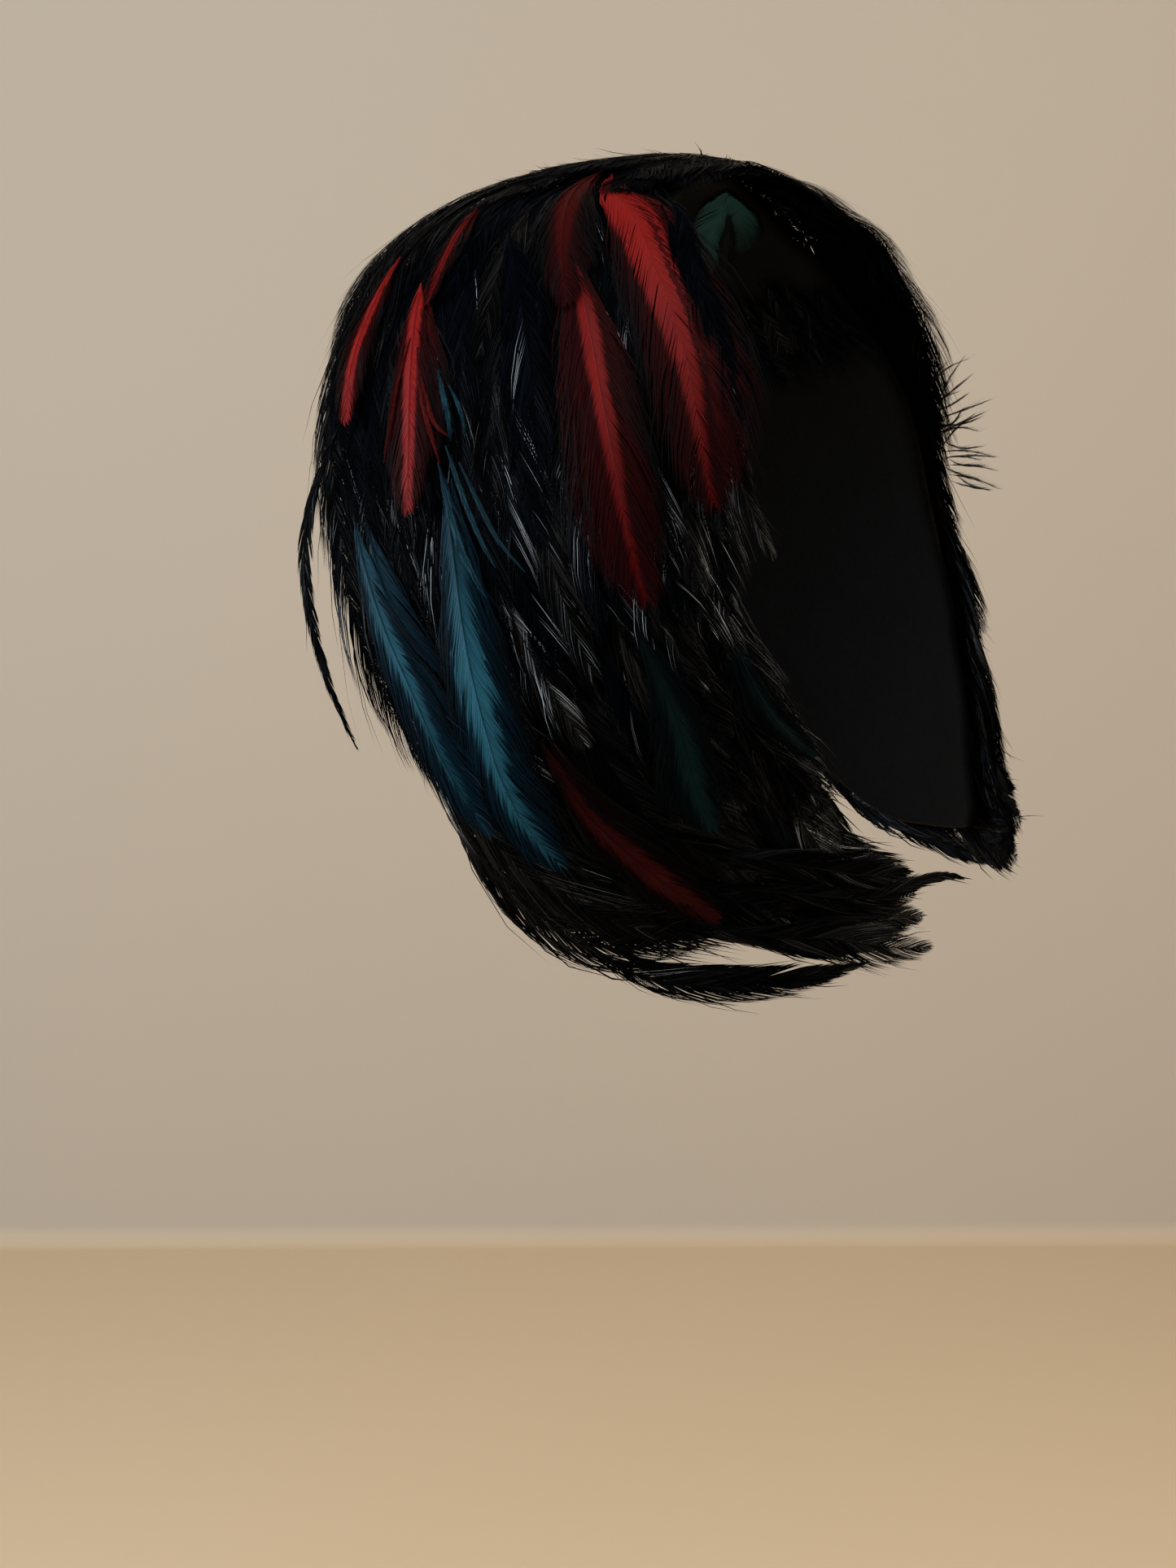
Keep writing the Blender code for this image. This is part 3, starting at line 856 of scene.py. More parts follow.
# The hairlike wisps at the left wing's front edge
RIM_WISP_ROW = 2
RIM_WISPS = (
    # the columns are station and across of a wisp's root, and the same of its end
    ((4.2, 0.84), (3.62, 1.18)), ((4.25, 0.86), (3.78, 1.26)), ((4.3, 0.86), (3.9, 1.2)),
    ((4.35, 0.86), (4.02, 1.29)), ((4.42, 0.88), (4.2, 1.2)), ((4.5, 0.88), (4.28, 1.3)),
    ((4.55, 0.88), (4.48, 1.24)), ((4.65, 0.88), (4.6, 1.3)), ((4.75, 0.9), (4.8, 1.22)),
    ((4.85, 0.9), (4.95, 1.26)), ((4.95, 0.9), (5.1, 1.2)), ((5.1, 0.9), (5.3, 1.18)),
)
RIM_WISP_LIFT = 1.5
RIM_WISP_SPREADS = ((0.06, 0.015), (0.16, 0.06), (0.05, 0.02))
RIM_WISP_LOOK = dict(width=0.45, tone=1.0, barb=0.04, quill=0.11, start=0.1, loose=1.0, stray=0.2, roll=0.1,
                     sweep=9, tip_sweep=12)


def row_rise(row, station):
    """The height over the band of a row's feathers, which lie over those of the next row."""
    return SEAT_GAP + LIFT_PER_STATION * (station - row.root)


def puffed(stations, across, side):
    """Places across the wing, moved out near its edges where the feathers stand out past them."""
    at, back, front_right, front_left = EDGE_PUFF.T
    front = front_left if side == LEFT else front_right
    return (across + np.interp(stations, at, back) * smooth(-across, PUFF_FROM, 1)
            + np.interp(stations, at, front) * smooth(across, PUFF_FROM, 1))


def edge_loft(stations, across, side):
    """How far the feathers near the upper edges are raised."""
    front = FRONT_LOFT * smooth(across, *LOFT_ACROSS) if side == LEFT else 0
    raised = (EDGE_LOFT * smooth(np.abs(across), *LOFT_ACROSS) + front) * smooth(stations, *LOFT_STARTS)
    return raised * (1 - smooth(stations, *LOFT_ENDS))


def glint_share(reach, side):
    """Feathers that end in the middle of a wing glint most, with turned barbs and painted highlights, and
    those on the right more than on the left.
    """
    middle = smooth(reach, *GLINT_STARTS) * (1 - smooth(reach, *GLINT_ENDS))
    return GLINT_LEAST + GLINT_MOST * middle * (1 if side == RIGHT else GLINT_ON_LEFT)


def rim_wisps(plumes, row):
    """Thin loose barbs that stand out from the front edge of the left wing."""
    root_spread, end_spread, middle_spread = RIM_WISP_SPREADS
    for start, end in RIM_WISPS * 2:
        start = np.add(start, plumes.rng.normal(0, 1, 2) * root_spread)
        end = np.add(end, plumes.rng.normal(0, 1, 2) * end_spread)
        middle = (start + end) / 2 + plumes.rng.normal(0, 1, 2) * middle_spread
        path = np.array([start, middle, end])
        plumes.add(*path.T, row_rise(row, path[:, 0]) + RIM_WISP_LIFT, **RIM_WISP_LOOK)


def row_feather(plumes, number, row, turn, stagger):
    """One of a row's many feathers, at a turn across the wing and a stagger along it."""
    rng, side = plumes.rng, plumes.side
    last_row = number == len(ROWS)
    root = row.root + ROOT_STAGGER * stagger + rng.normal(0, ROOT_SPREAD)
    reach = row.reach - TIP_STAGGER * (1 - stagger) + rng.normal(0, REACH_SPREAD)
    if side == LEFT and last_row:
        reach -= LEFT_TIP_SHORTER
    reach = max(reach, root + LEAST_LENGTH)
    width = rng.uniform(*ROW_WIDTH) * (LAST_ROW_WIDTH if last_row else 1)
    stations = np.linspace(root, reach, 5)
    share = np.linspace(0, 1, 5)
    halves = wing_section(stations)[:, 2]
    edge = between(*ROW_EDGES, turn)
    drift = rng.normal(0, DRIFT) + DRIFT * max(edge, 0)
    bow = rng.normal(0, DRIFT) * np.sin(math.pi * share)
    across = edge * (1 - EDGE_INSET * width / 2 / halves) + drift * share ** 1.5 + bow
    across = puffed(stations, across, side)
    rise = row_rise(row, stations) + RISE_STAGGER * (1 - stagger) + rng.normal(0, RISE_SPREAD)
    rise = rise + rng.normal(0, TIP_RISE_SPREAD) * share ** 2
    rise = rise + edge_loft(stations, across, side)
    look = {key: rng.uniform(*limits) for key, limits in ROW_LOOKS.items()}
    at_edge = abs(edge) ** 4
    look["loose"] += 0.4 * at_edge
    look["stray"] = 0.03 + 0.07 * at_edge
    look["tone"] = 0.6 * look["tone"] ** TONE_BEND + 0.4 * smooth(reach, 3.5, 8.5)
    plumes.add(stations, across, rise, width=width, glint=glint_share(reach, side), **look)


def row_plumage(side, number, row, material):
    """The many feathers of one row, spread evenly so that their tips end all over its lower part."""
    plumes = Plumes(side, 10 * number + (5 if side == LEFT else 0))
    start = plumes.rng.uniform(0, 1, 2)
    for index in range(row.plumes):
        row_feather(plumes, number, row, (start[0] + GOLDEN * index) % 1, (start[1] + SILVER * index) % 1)
    for extra in EXTRA_PLUMES:
        if extra.row == number and side in extra.sides:
            path = np.array(extra.path)
            rise = row_rise(row, path[:, 0]) + extra.lift + edge_loft(*path.T, side)
            plumes.add(*path.T, rise, width=extra.width, tone=extra.tone, glint=extra.glint, barb=extra.barb,
                       **EXTRA_LOOK)
    if side == LEFT and number == RIM_WISP_ROW:
        rim_wisps(plumes, row)
    piece = plume_mesh(f"{SIDE_NAMES[side]}_plumage_{number}", plumes, material, ROW_BARBS)
    settle(piece, f"{SIDE_NAMES[side]}_feather_row_{number}")


CROWN_PLUMES = 56
CROWN_BARBS = 70
CROWN_LOOK = dict(loose=0.6, clumps=9, thin=0.3, glint=0)
CROWN_WIDTH = (8, 11)
CROWN_ROLL = (0.1, 0.28)
CROWN_SPREAD = 0.08
CROWN_STAGGER_RISE = 0.8
CROWN_STARTS = (0.3, 0.1)
CROWN_EDGES = (-1.05, 1.1)
CROWN_ROOTS = (-0.35, 0.15)
CROWN_REACHES = (0.85, 1.85)
CROWN_INSET = 0.015
SEAM_EDGES = (-0.97, -0.8, 0.85, 1.0)
SEAM_STATIONS = np.array([-0.45, 0.1, 0.7, 1.3])
SEAM_DROP = 0.5


def crown_plumage(material):
    """Short feathers that part on the crown, each half running down its own side."""
    plumes = Plumes(RIGHT, CROWN_SEED)
    rng = plumes.rng
    share = np.linspace(0, 1, 5)
    for index in range(CROWN_PLUMES):
        away = 1 if index % 2 else -1
        edge = between(*CROWN_EDGES, (CROWN_STARTS[0] + GOLDEN * index) % 1)
        stagger = (CROWN_STARTS[1] + SILVER * index) % 1
        stations = np.linspace(between(*CROWN_ROOTS, stagger), between(*CROWN_REACHES, stagger), 5)
        width = rng.uniform(*CROWN_WIDTH)
        across = edge * (1 - CROWN_INSET * width) + rng.normal(0, CROWN_SPREAD) * share
        across = puffed(np.abs(stations), across, RIGHT if away > 0 else LEFT)
        rise = CROWN_ROW_RISE + LIFT_PER_STATION * np.abs(stations)
        rise = rise + CROWN_STAGGER_RISE * (1 - stagger) + rng.normal(0, RISE_SPREAD)
        plumes.add(stations * away, across, rise, width=width, roll=rng.uniform(*CROWN_ROLL),
                   tone=0.5 * rng.uniform(0, 1) ** TONE_BEND, start=0.05, **CROWN_LOOK)
    rise = CROWN_ROW_RISE - SEAM_DROP + LIFT_PER_STATION * np.abs(SEAM_STATIONS)
    for away in (-1, 1):
        for edge in SEAM_EDGES:
            plumes.add(SEAM_STATIONS * away, [edge] * len(rise), rise, width=8, tone=0.2, start=0.0,
                       fullness=0.15, **CROWN_LOOK)
    settle(plume_mesh("crown_plumage", plumes, material, CROWN_BARBS), "crown_feather_row")


# The single feathers by node: the row each one lies on, its path along and across the wing, its width, its
# bright stripe at even steps from root to tip, how bright that is there and how far the dye reaches
Accent = namedtuple("Accent", "row path width stripe bright dark sides barb", defaults=(BOTH, 0.34))
FRONT_STRIPE = (0.16, 0.5, 0.42, 0.22, 0.05)
FRONT_BRIGHT = (0.8, 1, 1, 0.7, 0.3)
PLAIN = (0, 0, 0, 0, 0)
RED_WISP_BRIGHT = (0.1, 0.25, 0.3, 0.3, 0.2)
RED_SHAFT = 0.9
WISP_WIDTH = 2.5


def wisp(path, width, stripe, bright, dark):
    """A thin loose strand beside a dyed feather."""
    return Accent(0, path, width, stripe, bright, dark, BOTH, 0.14)


def red_wisp(path, width, bright):
    return wisp(path, width, (0.6, 0.8, 0.9, 0.9, 0.9), bright, 0.9)


def blue_wisp(path, width, bright, dark=0.8):
    return wisp(path, width, (0.3, 0.8, 0.9, 0.8, 0.5), bright, dark)


def black_tip(side, path, width, barb=0.3):
    """A plain black feather at the tip of one wing."""
    return Accent(3, path, width, PLAIN, PLAIN, 0, (side,), barb)


ACCENTS = {
    "red_feather_back": [
        Accent(0, ((2.3, -0.8), (2.85, -0.83), (3.25, -0.84), (3.65, -0.81)),
               7.5, (0.16, 0.26, 0.3, 0.32, 0.34), (0.8, 1, 1, 0.9, 0.7), 0.8),
    ],
    "red_feather_back_long": [
        Accent(0, ((2.7, -0.55), (3.3, -0.5), (3.75, -0.48), (4.12, -0.48), (4.5, -0.5)),
               10, (0.26, 0.28, 0.28, 0.25, 0.2), (1, 1, 1, 0.9, 0.7), 0.85),
        Accent(0, ((1.9, -0.5), (2.3, -0.46), (2.6, -0.45), (2.95, -0.46)),
               4.5, (0.3, 0.3, 0.3, 0.3, 0.2), (0.2, 0.45, 0.5, 0.4, 0.2), 0.8),
        red_wisp(((3.3, -0.47), (3.65, -0.43), (3.95, -0.38), (4.25, -0.33)), 0.9, RED_WISP_BRIGHT),
        red_wisp(((3.45, -0.45), (3.7, -0.4), (3.95, -0.35), (4.1, -0.28)), 0.8, RED_WISP_BRIGHT),
        red_wisp(((3.2, -0.52), (3.5, -0.55), (3.8, -0.57), (4.1, -0.6)), 0.9, (0.1, 0.2, 0.25, 0.2, 0.1)),
    ],
    "red_feather_front_long": [
        Accent(0, ((1.3, 0.25), (1.9, 0.46), (2.48, 0.63), (3.17, 0.74), (3.8, 0.78), (4.43, 0.82),
                   (5.05, 0.86)), 17, FRONT_STRIPE, FRONT_BRIGHT, 0.8, (RIGHT,)),
        Accent(0, ((1.4, 0.28), (2.5, 0.5), (3.8, 0.66), (5.0, 0.74)),
               15, FRONT_STRIPE, FRONT_BRIGHT, 0.9, (LEFT,)),
        Accent(0, ((1.2, 0.08), (1.9, 0.17), (2.6, 0.24), (3.3, 0.3)),
               10, (0.5, 0.5, 0.4, 0.2, 0), (0.05, 0.1, 0.12, 0.06, 0), 0.6),
    ],
    "red_feather_middle": [
        Accent(0, ((2.8, 0.33), (3.4, 0.38), (4.1, 0.41), (4.8, 0.46), (5.7, 0.46)),
               14, (0.12, 0.22, 0.22, 0.13, 0.03), (0.2, 0.8, 0.85, 0.4, 0.3), 0.85),
    ],
    "blue_feather_back": [
        Accent(1, ((4.4, -0.82), (4.9, -0.79), (5.5, -0.75), (6.05, -0.77), (6.5, -0.76)),
               9, (0.1, 0.28, 0.3, 0.15, 0.05), (0.15, 0.5, 0.75, 0.4, 0.15), 0.9),
    ],
    "blue_feather_middle": [
        Accent(1, ((4.35, -0.33), (4.94, -0.35), (5.44, -0.41), (5.97, -0.49), (6.43, -0.58), (6.9, -0.61)),
               12, (0.08, 0.24, 0.44, 0.26, 0.07), (0.05, 0.4, 1, 0.85, 0.5), 0.95),
        blue_wisp(((3.55, -0.34), (3.75, -0.31), (3.95, -0.28), (4.12, -0.27)), 1.0,
                  (0.05, 0.4, 0.6, 0.3, 0.05), 0.6),
        blue_wisp(((3.7, -0.28), (3.85, -0.24), (4.0, -0.21), (4.15, -0.2)), 0.7,
                  (0.05, 0.3, 0.5, 0.3, 0.05), 0.6),
        blue_wisp(((4.15, -0.3), (4.45, -0.25), (4.75, -0.2), (5.05, -0.14)), 1.0,
                  (0.05, 0.3, 0.4, 0.3, 0.1)),
        blue_wisp(((4.25, -0.34), (4.55, -0.31), (4.85, -0.28), (5.2, -0.22)), 1.3,
                  (0.05, 0.3, 0.55, 0.45, 0.1)),
        blue_wisp(((4.3, -0.24), (4.6, -0.17), (4.9, -0.1), (5.15, -0.02)), 0.8, (0.05, 0.2, 0.3, 0.2, 0.1)),
    ],
    "teal_feather_low": [
        Accent(2, ((5.85, 0.37), (6.3, 0.37), (6.75, 0.33), (7.15, 0.22), (7.55, 0.06)),
               8.5, (0.1, 0.25, 0.35, 0.35, 0.2), (0.1, 0.3, 0.7, 1, 0.9), 0.9),
    ],
    "rust_feather_low": [
        Accent(2, ((6.2, -0.3), (6.8, -0.33), (7.3, -0.35), (8.0, -0.46)),
               7.5, (0.12, 0.25, 0.36, 0.4, 0.25), (0.2, 0.5, 0.8, 1, 0.7), 0.9),
    ],
    "teal_feather_edge": [
        Accent(2, ((6.35, 0.8), (6.95, 0.82), (7.5, 0.87), (7.95, 0.95)),
               5, (0.2, 0.3, 0.3, 0.3, 0.2), (0.1, 0.2, 0.5, 0.8, 0.6), 0.7, (RIGHT,)),
    ],
    "black_feather_stray": [
        Accent(0, ((3.65, -0.86), (4.1, -1.0), (4.6, -1.1), (5.1, -1.13), (5.6, -1.12)),
               3, PLAIN, PLAIN, 0, (RIGHT,)),
    ],
    "black_feather_tip_long": [
        black_tip(RIGHT, ((8.0, -0.25), (8.7, 0.05), (9.45, 0.42), (10.2, 1.25)), 3.6),
        black_tip(RIGHT, ((7.7, -0.1), (8.3, 0.15), (8.9, 0.45), (9.6, 0.85)), 6.5),
        black_tip(RIGHT, ((8.1, -0.55), (8.6, -0.48), (9.1, -0.4), (9.9, -0.85)), 8, 0.16),
        black_tip(LEFT, ((7.7, -0.25), (8.2, -0.1), (8.7, 0.08), (9.2, 0.25)), 5.5, 0.34),
        black_tip(LEFT, ((7.5, -0.1), (8.0, 0.12), (8.5, 0.35), (9.0, 0.55)), 6.5),
        black_tip(LEFT, ((7.7, -0.5), (8.2, -0.42), (8.7, -0.35), (9.15, -0.3)), 8, 0.2),
    ],
    "black_feather_tip_low": [
        black_tip(RIGHT, ((7.5, -0.9), (8.1, -0.97), (8.7, -0.95), (9.25, -0.79)), 5),
        black_tip(RIGHT, ((7.3, -0.95), (7.9, -1.03), (8.5, -1.05), (9.0, -0.98)), 6, 0.16),
        black_tip(LEFT, ((7.3, -0.85), (7.8, -0.9), (8.4, -0.92), (9.0, -0.85)), 5),
    ],
}
SINGLE_BARBS = 150
ACCENT_LOOK = dict(roll=0.05, glint=0.01, clumps=10, tone=0.5, start=0.0, fullness=0.2, camber=0.14,
                   sweep=4.6, tip_sweep=7.5, thin=0.35)
ACCENT_LIFT = 1.7
ACCENT_TIP_LIFT = 0.6
BLUNT = dict(point=0.4, tip=0.08)
SHARP = dict(point=0.2, tip=0.04)

# The duller feather that lies under each wide one, beside the upper one
UNDER_SHORTER = 0.25
UNDER_SPREAD = 0.03
UNDER_DROP = 0.4
UNDER_BRIGHT = 0.15
UNDER_WIDTH = 1.15
UNDER_LOOSER = 0.3


def accent(order, node, side, materials):
    """One piece of single feathers, each wide one over a duller one of its own kind."""
    plumes = Plumes(side, ACCENT_SEED + 2 * order + (1 if side == LEFT else 0))
    colour = node.split("_")[0]
    shape = SHARP if colour == "black" else BLUNT
    shaft = RED_SHAFT if colour == "red" else LOOK["shaft"]
    for item in ACCENTS[node]:
        if side not in item.sides:
            continue
        path = np.array(item.path)
        share = np.linspace(0, 1, len(path))
        for under in range(1 if colour == "black" or item.width < WISP_WIDTH else 2):
            stations = path[:, 0] - (UNDER_SHORTER * share if under else 0)
            across = path[:, 1] + (plumes.rng.normal(0, UNDER_SPREAD) if under else 0)
            rise = row_rise(ROWS[item.row], stations) + ACCENT_LIFT + ACCENT_TIP_LIFT * share
            rise = rise - UNDER_DROP * under
            rise = rise + edge_loft(stations, across, side)
            dull = UNDER_BRIGHT if under else 1
            plumes.add(stations, across, rise, width=item.width * (UNDER_WIDTH if under else 1),
                       stripe=item.stripe, bright=np.multiply(item.bright, dull), dark=item.dark,
                       loose=0.5 + UNDER_LOOSER * under, barb=item.barb, shaft=shaft, **shape, **ACCENT_LOOK)
    piece = plume_mesh(f"{SIDE_NAMES[side]}_{node}_plume", plumes, materials[colour], SINGLE_BARBS)
    settle(piece, f"{SIDE_NAMES[side]}_{node}")


# The teal feather against the band's underside: two lobes, and a dark strand in the gap between them. The
# paths are station, across and rise.
LOBE = dict(stripe=(0.9, 0.9, 0.9, 0.8, 0.6), dark=1.2, tone=0.3, fullness=0.2, sweep=4, roll=0.05)
GAP = dict(stripe=PLAIN, bright=PLAIN, dark=0.2, tone=0.1, fullness=0.35, sweep=5)
INNER_TEAL = (
    (((0.2, 0.62, -3.2), (0.9, 0.47, -3.3), (1.6, 0.28, -3.6), (2.35, 0.1, -3.9)),
     dict(LOBE, width=10, bright=(0.8, 1, 1, 0.9, 0.6))),
    (((0.3, 0.64, -3.4), (0.8, 0.64, -3.5), (1.3, 0.58, -3.7), (2.0, 0.42, -3.9)),
     dict(LOBE, width=8, bright=(0.8, 1, 0.75, 0.3, 0.1))),
    (((1.05, 0.5, -4.0), (1.45, 0.44, -4.2), (1.85, 0.36, -4.4), (2.3, 0.26, -4.6)), dict(GAP, width=3.4)),
)


def inner_teal(material):
    """The teal feather against the band's underside near the crown."""
    plumes = Plumes(LEFT, INNER_TEAL_SEED)
    for path, look in INNER_TEAL:
        plumes.add(*np.array(path).T, loose=0.4, start=0.02, point=0.4, camber=-0.1, **look)
    piece = plume_mesh("inner_teal_plume", plumes, material, SINGLE_BARBS)
    settle(piece, "inner_teal_feather")


FRINGE_PLUMES = 14
FRINGE_BARBS = 60
FRINGE_ACROSS = 0.85
FRINGE_ROOT = 2.5
FRINGE_REACH = 3.45
FRINGE_DEPTH = 3.3
FRINGE_LOOK = dict(loose=1.0, roll=0.3, stray=0.12, start=0.05, camber=-0.1, clumps=7)


def inner_fringe(material):
    """The short loose feathers against the underside, below the teal one."""
    plumes = Plumes(LEFT, FRINGE_SEED)
    rng = plumes.rng
    for index in range(FRINGE_PLUMES):
        edge = (index + 0.5) / FRINGE_PLUMES * FRINGE_ACROSS
        root = FRINGE_ROOT + rng.uniform(0, 0.3)
        reach = FRINGE_REACH + rng.uniform(-0.1, 0.35)
        depth = -FRINGE_DEPTH - rng.uniform(0, 0.8)
        across = [edge, edge + rng.normal(0, 0.02), edge + rng.normal(0.03, 0.05)]
        plumes.add([root, (root + reach) / 2, reach], across, [depth, depth - 0.2, depth - 0.6],
                   width=rng.uniform(6, 8), tone=rng.uniform(0.1, 0.6), **FRINGE_LOOK)
    settle(plume_mesh("inner_fringe_plumes", plumes, material, FRINGE_BARBS), "inner_fringe")


def band_half_share(station):
    """The band's half width as a share of the feathers' at stations, rounded off at the wing's end."""
    half_width = wing_section(station)[..., 2]
    past = np.maximum(station - BAND_TIP_START, 0) / (BAND_REACH - BAND_TIP_START)
    rounding = np.maximum(np.sqrt(np.maximum(1 - past * past, 0)), BAND_TIP_ROUNDING)
    return np.maximum(1 - BAND_INSET / half_width, BAND_LEAST_SHARE) * rounding


def band_loops():
    """The band's points: a loop across it at each step, with a rounded rim and a hem on its underside."""
    flat = np.linspace(-1, 1, BAND_COLUMNS + 1)
    turn = np.linspace(0, math.pi, BAND_RIM_TURNS + 2)[1:-1]
    across = np.concatenate([flat, np.ones(len(turn)), flat[::-1], -np.ones(len(turn))])
    past = np.concatenate([0 * flat, np.sin(turn), 0 * flat, -np.sin(turn)])
    height = np.concatenate([0 * flat, (np.cos(turn) - 1) / 2, 0 * flat - 1, -(1 + np.cos(turn)) / 2])
    stations = BAND_REACH * np.linspace(-1, 1, BAND_STEPS + 1)
    size = np.abs(stations)
    half = wing_section(size)[:, 2]
    half_share = band_half_share(size)
    rim = BAND_THICKNESS / 2 * BAND_RIM_BULGE
    share = (half_share - rim / half)[:, None] * across[None] + (rim / half)[:, None] * past[None]
    edge = half_share[:, None] * half[:, None]
    hem_start = edge - HEM_WIDTH
    hem = HEM_DEPTH * smooth(np.abs(across)[None] * edge, hem_start, hem_start + HEM_STEP)
    underside = height[None] < -0.99
    rise = BAND_THICKNESS * height[None] - hem * underside
    station_grid = np.broadcast_to(stations[:, None], share.shape)
    chart = np.concatenate([wing_chart(station_grid, share), rise[..., None]], -1)
    return form_points(chart, RIGHT), stations


def band_cells(loop):
    """Quads between the band's loops, and the caps over its first and last loop."""
    step, place = np.meshgrid(np.arange(BAND_STEPS), np.arange(loop), indexing="ij")
    after = (place + 1) % loop
    near, far = step * loop, (step + 1) * loop
    quads = np.stack([near + place, far + place, far + after, near + after], -1).reshape(-1, 4)
    right_rim = BAND_COLUMNS
    underside_end = 2 * BAND_COLUMNS + BAND_RIM_TURNS + 1
    caps = []
    for first, flip in ((0, False), (BAND_STEPS * loop, True)):
        cells = [(at, at + 1, underside_end - at - 1, underside_end - at) for at in range(BAND_COLUMNS)]
        for rim_start in (right_rim, underside_end):
            rim = [(rim_start + at) % loop for at in range(BAND_RIM_TURNS + 2)]
            cells += [(rim[0], rim[1], rim[-2], rim[-1]), (rim[1], rim[2], rim[3], rim[4])]
        caps += [[first + corner for corner in (cell[::-1] if flip else cell)] for cell in cells]
    return np.concatenate([quads, np.array(caps)])


def band_piece(material):
    """The band's cloth, closed at both ends."""
    points, stations = band_loops()
    loop = points.shape[1]
    along = (stations[:, None] / BAND_REACH * 0.5 + 0.5) * np.ones((1, loop))
    around = np.broadcast_to(np.arange(loop)[None] / loop, along.shape)
    uv = np.stack([along, around], -1).reshape(-1, 2)
    no_triangles = np.zeros((0, 3), int)
    cells = band_cells(loop)
    piece = write_mesh("band_cloth", points.reshape(-1, 3), cells, no_triangles, False, {}, uv, material)
    settle(piece, "base_band")


# The photograph's camera, about the middle of the hat's hollow, in millimetres and degrees
HOLLOW_CENTRE = Vector((0, 27, -104))
VIEW_AZIMUTH = -67
VIEW_ELEVATION = 6
VIEW_DISTANCE = 620
VIEW_SHIFT = (7.81, -23.07)
LENS = 66.02
SENSOR = 36
CLIP_METRES = (0.01, 20)

FLOOR_LEVEL = -555
WALL_BEHIND = 1050
STAGE_SPREAD = 3000
STAGE_CORNER_RADIUS = 12
STAGE_CORNER_STEPS = 9

LIT_POINT = Vector((0, 0, -75)) * MM
Light = namedtuple("Light", "name direction distance size power colour")
LIGHTS = (
    # directions are right, up and towards the camera in its view; distances and sizes are in metres
    Light("window", (-0.96, 0.35, 0.1), 1.1, 0.5, 13, (0.84, 0.92, 1.0)),
    Light("lamp", (0.9, 0.45, 0.0), 1.1, 0.35, 8, (1.0, 0.84, 0.64)),
    Light("overhead", (-0.1, 1.0, 0.5), 1.1, 0.8, 7, (1.0, 0.96, 0.9)),
)
WORLD_COLOUR = rgb(0.9, 0.93, 1.0)
WORLD_STRENGTH = 0.14


def view_axes():
    """Unit vectors towards the camera, to its right and up in its view, before it is aimed off centre."""
    azimuth, elevation = math.radians(VIEW_AZIMUTH), math.radians(VIEW_ELEVATION)
    level = math.cos(elevation)
    back = Vector((math.sin(azimuth) * level, -math.cos(azimuth) * level, math.sin(elevation)))
    right = (-back).cross(Vector((0, 0, 1))).normalized()
    return back, right, right.cross(-back)


def placed(name, data, place, way):
    """An object that looks along a way."""
    thing = bpy.data.objects.new(name, data)
    thing.location = place
    thing.rotation_euler = way.to_track_quat("-Z", "Y").to_euler()
    bpy.context.scene.collection.objects.link(thing)
    return thing


def camera():
    """The photograph's camera."""
    back, right, up = view_axes()
    place = HOLLOW_CENTRE + back * VIEW_DISTANCE
    target = HOLLOW_CENTRE + right * VIEW_SHIFT[0] + up * VIEW_SHIFT[1]
    data = bpy.data.cameras.new("camera")
    data.lens = LENS
    data.sensor_width = SENSOR
    data.clip_start, data.clip_end = CLIP_METRES
    bpy.context.scene.camera = placed("camera", data, place * MM, target - place)


def light(item):
    """A soft square light that faces the hat."""
    back, right, up = view_axes()
    way = (right * item.direction[0] + up * item.direction[1] + back * item.direction[2]).normalized()
    data = bpy.data.lights.new(item.name, "AREA")
    data.shape = "SQUARE"
    data.size = item.size
    data.energy = item.power
    data.color = item.colour
    placed(item.name, data, LIT_POINT + way * item.distance, -way)


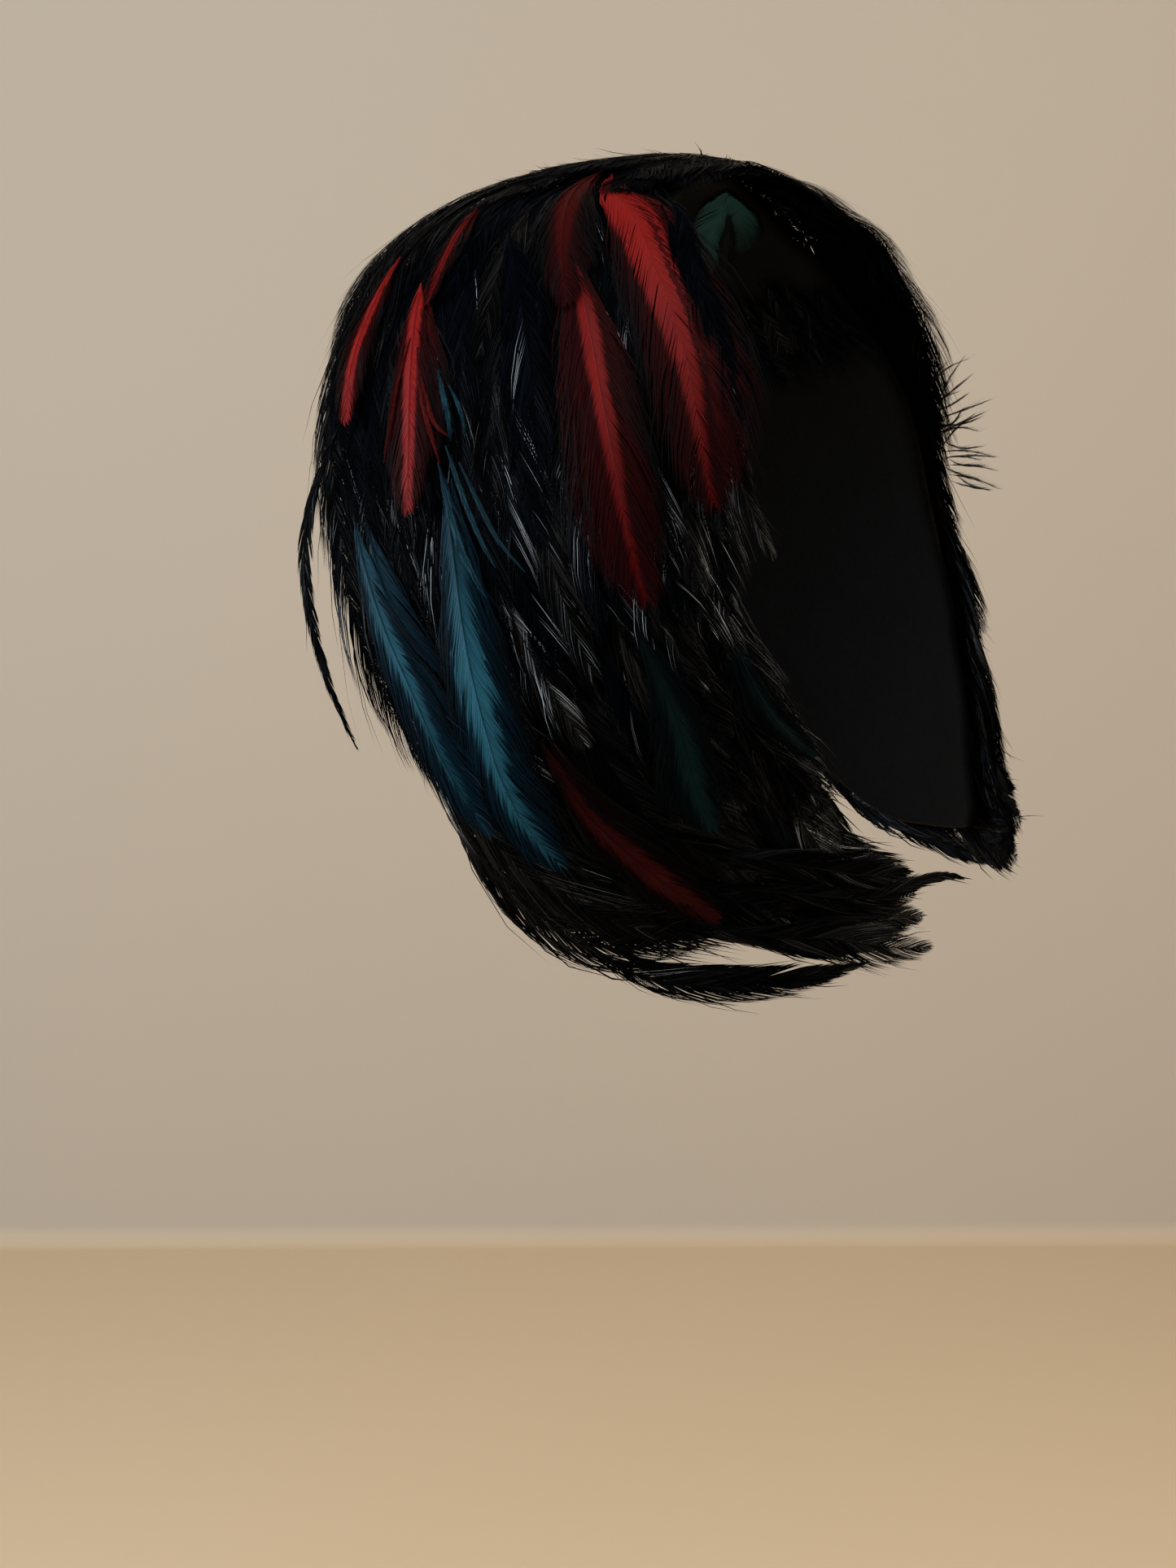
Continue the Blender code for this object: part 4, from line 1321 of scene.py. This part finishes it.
def stage_material():
    """Pale paint with faint clouds, a little warmer on the floor than on the wall."""
    nodes = Nodes("stage_paint")
    coordinates = nodes.add("ShaderNodeTexCoord").outputs["Object"]
    clouds = nodes.noise(3, 3, coordinates)
    height = nodes.add("ShaderNodeSeparateXYZ", None, {0: coordinates}).outputs[2]
    limits = {0: height, 1: FLOOR_LEVEL * MM, 2: (FLOOR_LEVEL + STAGE_CORNER_RADIUS) * MM}
    upright = nodes.add("ShaderNodeMapRange", None, limits).outputs[0]
    floor = nodes.mix(clouds, rgb(0.69, 0.53, 0.35), rgb(0.71, 0.55, 0.365))
    wall = nodes.mix(clouds, rgb(0.58, 0.515, 0.43), rgb(0.6, 0.535, 0.45))
    return nodes.surface({
        "Base Color": nodes.mix(upright, floor, wall),
        "Roughness": 0.7,
        "Normal": nodes.bump(nodes.noise(900, 2, coordinates), 0.05, 0.0003),
    })


def stage():
    """A pale floor that turns up into a wall behind the hat, as the camera sees it."""
    back, right, _ = view_axes()
    away = Vector((-back.x, -back.y, 0)).normalized()
    radius = STAGE_CORNER_RADIUS
    turns = np.linspace(0, math.pi / 2, STAGE_CORNER_STEPS)
    corner = [(WALL_BEHIND - radius + radius * math.sin(turn), radius - radius * math.cos(turn))
              for turn in turns]
    profile = [(-STAGE_SPREAD, 0), *corner, (WALL_BEHIND, STAGE_SPREAD)]
    points = []
    for distance, height in profile:
        for side in (-STAGE_SPREAD, STAGE_SPREAD):
            base = HOLLOW_CENTRE + away * distance + right * side
            points.append(Vector((base.x, base.y, FLOOR_LEVEL + height)) * MM)
    faces = [(at, at + 1, at + 3, at + 2) for at in range(0, 2 * len(profile) - 2, 2)]
    mesh = bpy.data.meshes.new("stage_floor")
    mesh.from_pydata(points, [], faces)
    mesh.shade_smooth()
    mesh.materials.append(stage_material())
    floor = bpy.data.objects.new("stage_floor", mesh)
    bpy.context.scene.collection.objects.link(floor)


def surroundings():
    """A dim cool sky and the soft lights."""
    world = bpy.data.worlds.new("studio")
    world.use_nodes = True
    background = world.node_tree.nodes["Background"]
    background.inputs["Color"].default_value = WORLD_COLOUR
    background.inputs["Strength"].default_value = WORLD_STRENGTH
    bpy.context.scene.world = world
    bpy.context.scene.view_settings.view_transform = "Standard"
    for item in LIGHTS:
        light(item)


camera()
feathers = {"black": black_feather(), **{name: dyed_feather(name) for name in DYES}}
band_piece(band_cloth())
crown_plumage(feathers["black"])
for wing in BOTH:
    for number, row in enumerate(ROWS, start=1):
        row_plumage(wing, number, row, feathers["black"])
for order, (node, items) in enumerate(ACCENTS.items()):
    for wing in BOTH:
        if any(wing in item.sides for item in items):
            accent(order, node, wing, feathers)
inner_teal(feathers["inner_teal"])
inner_fringe(feathers["black"])
stage()
surroundings()
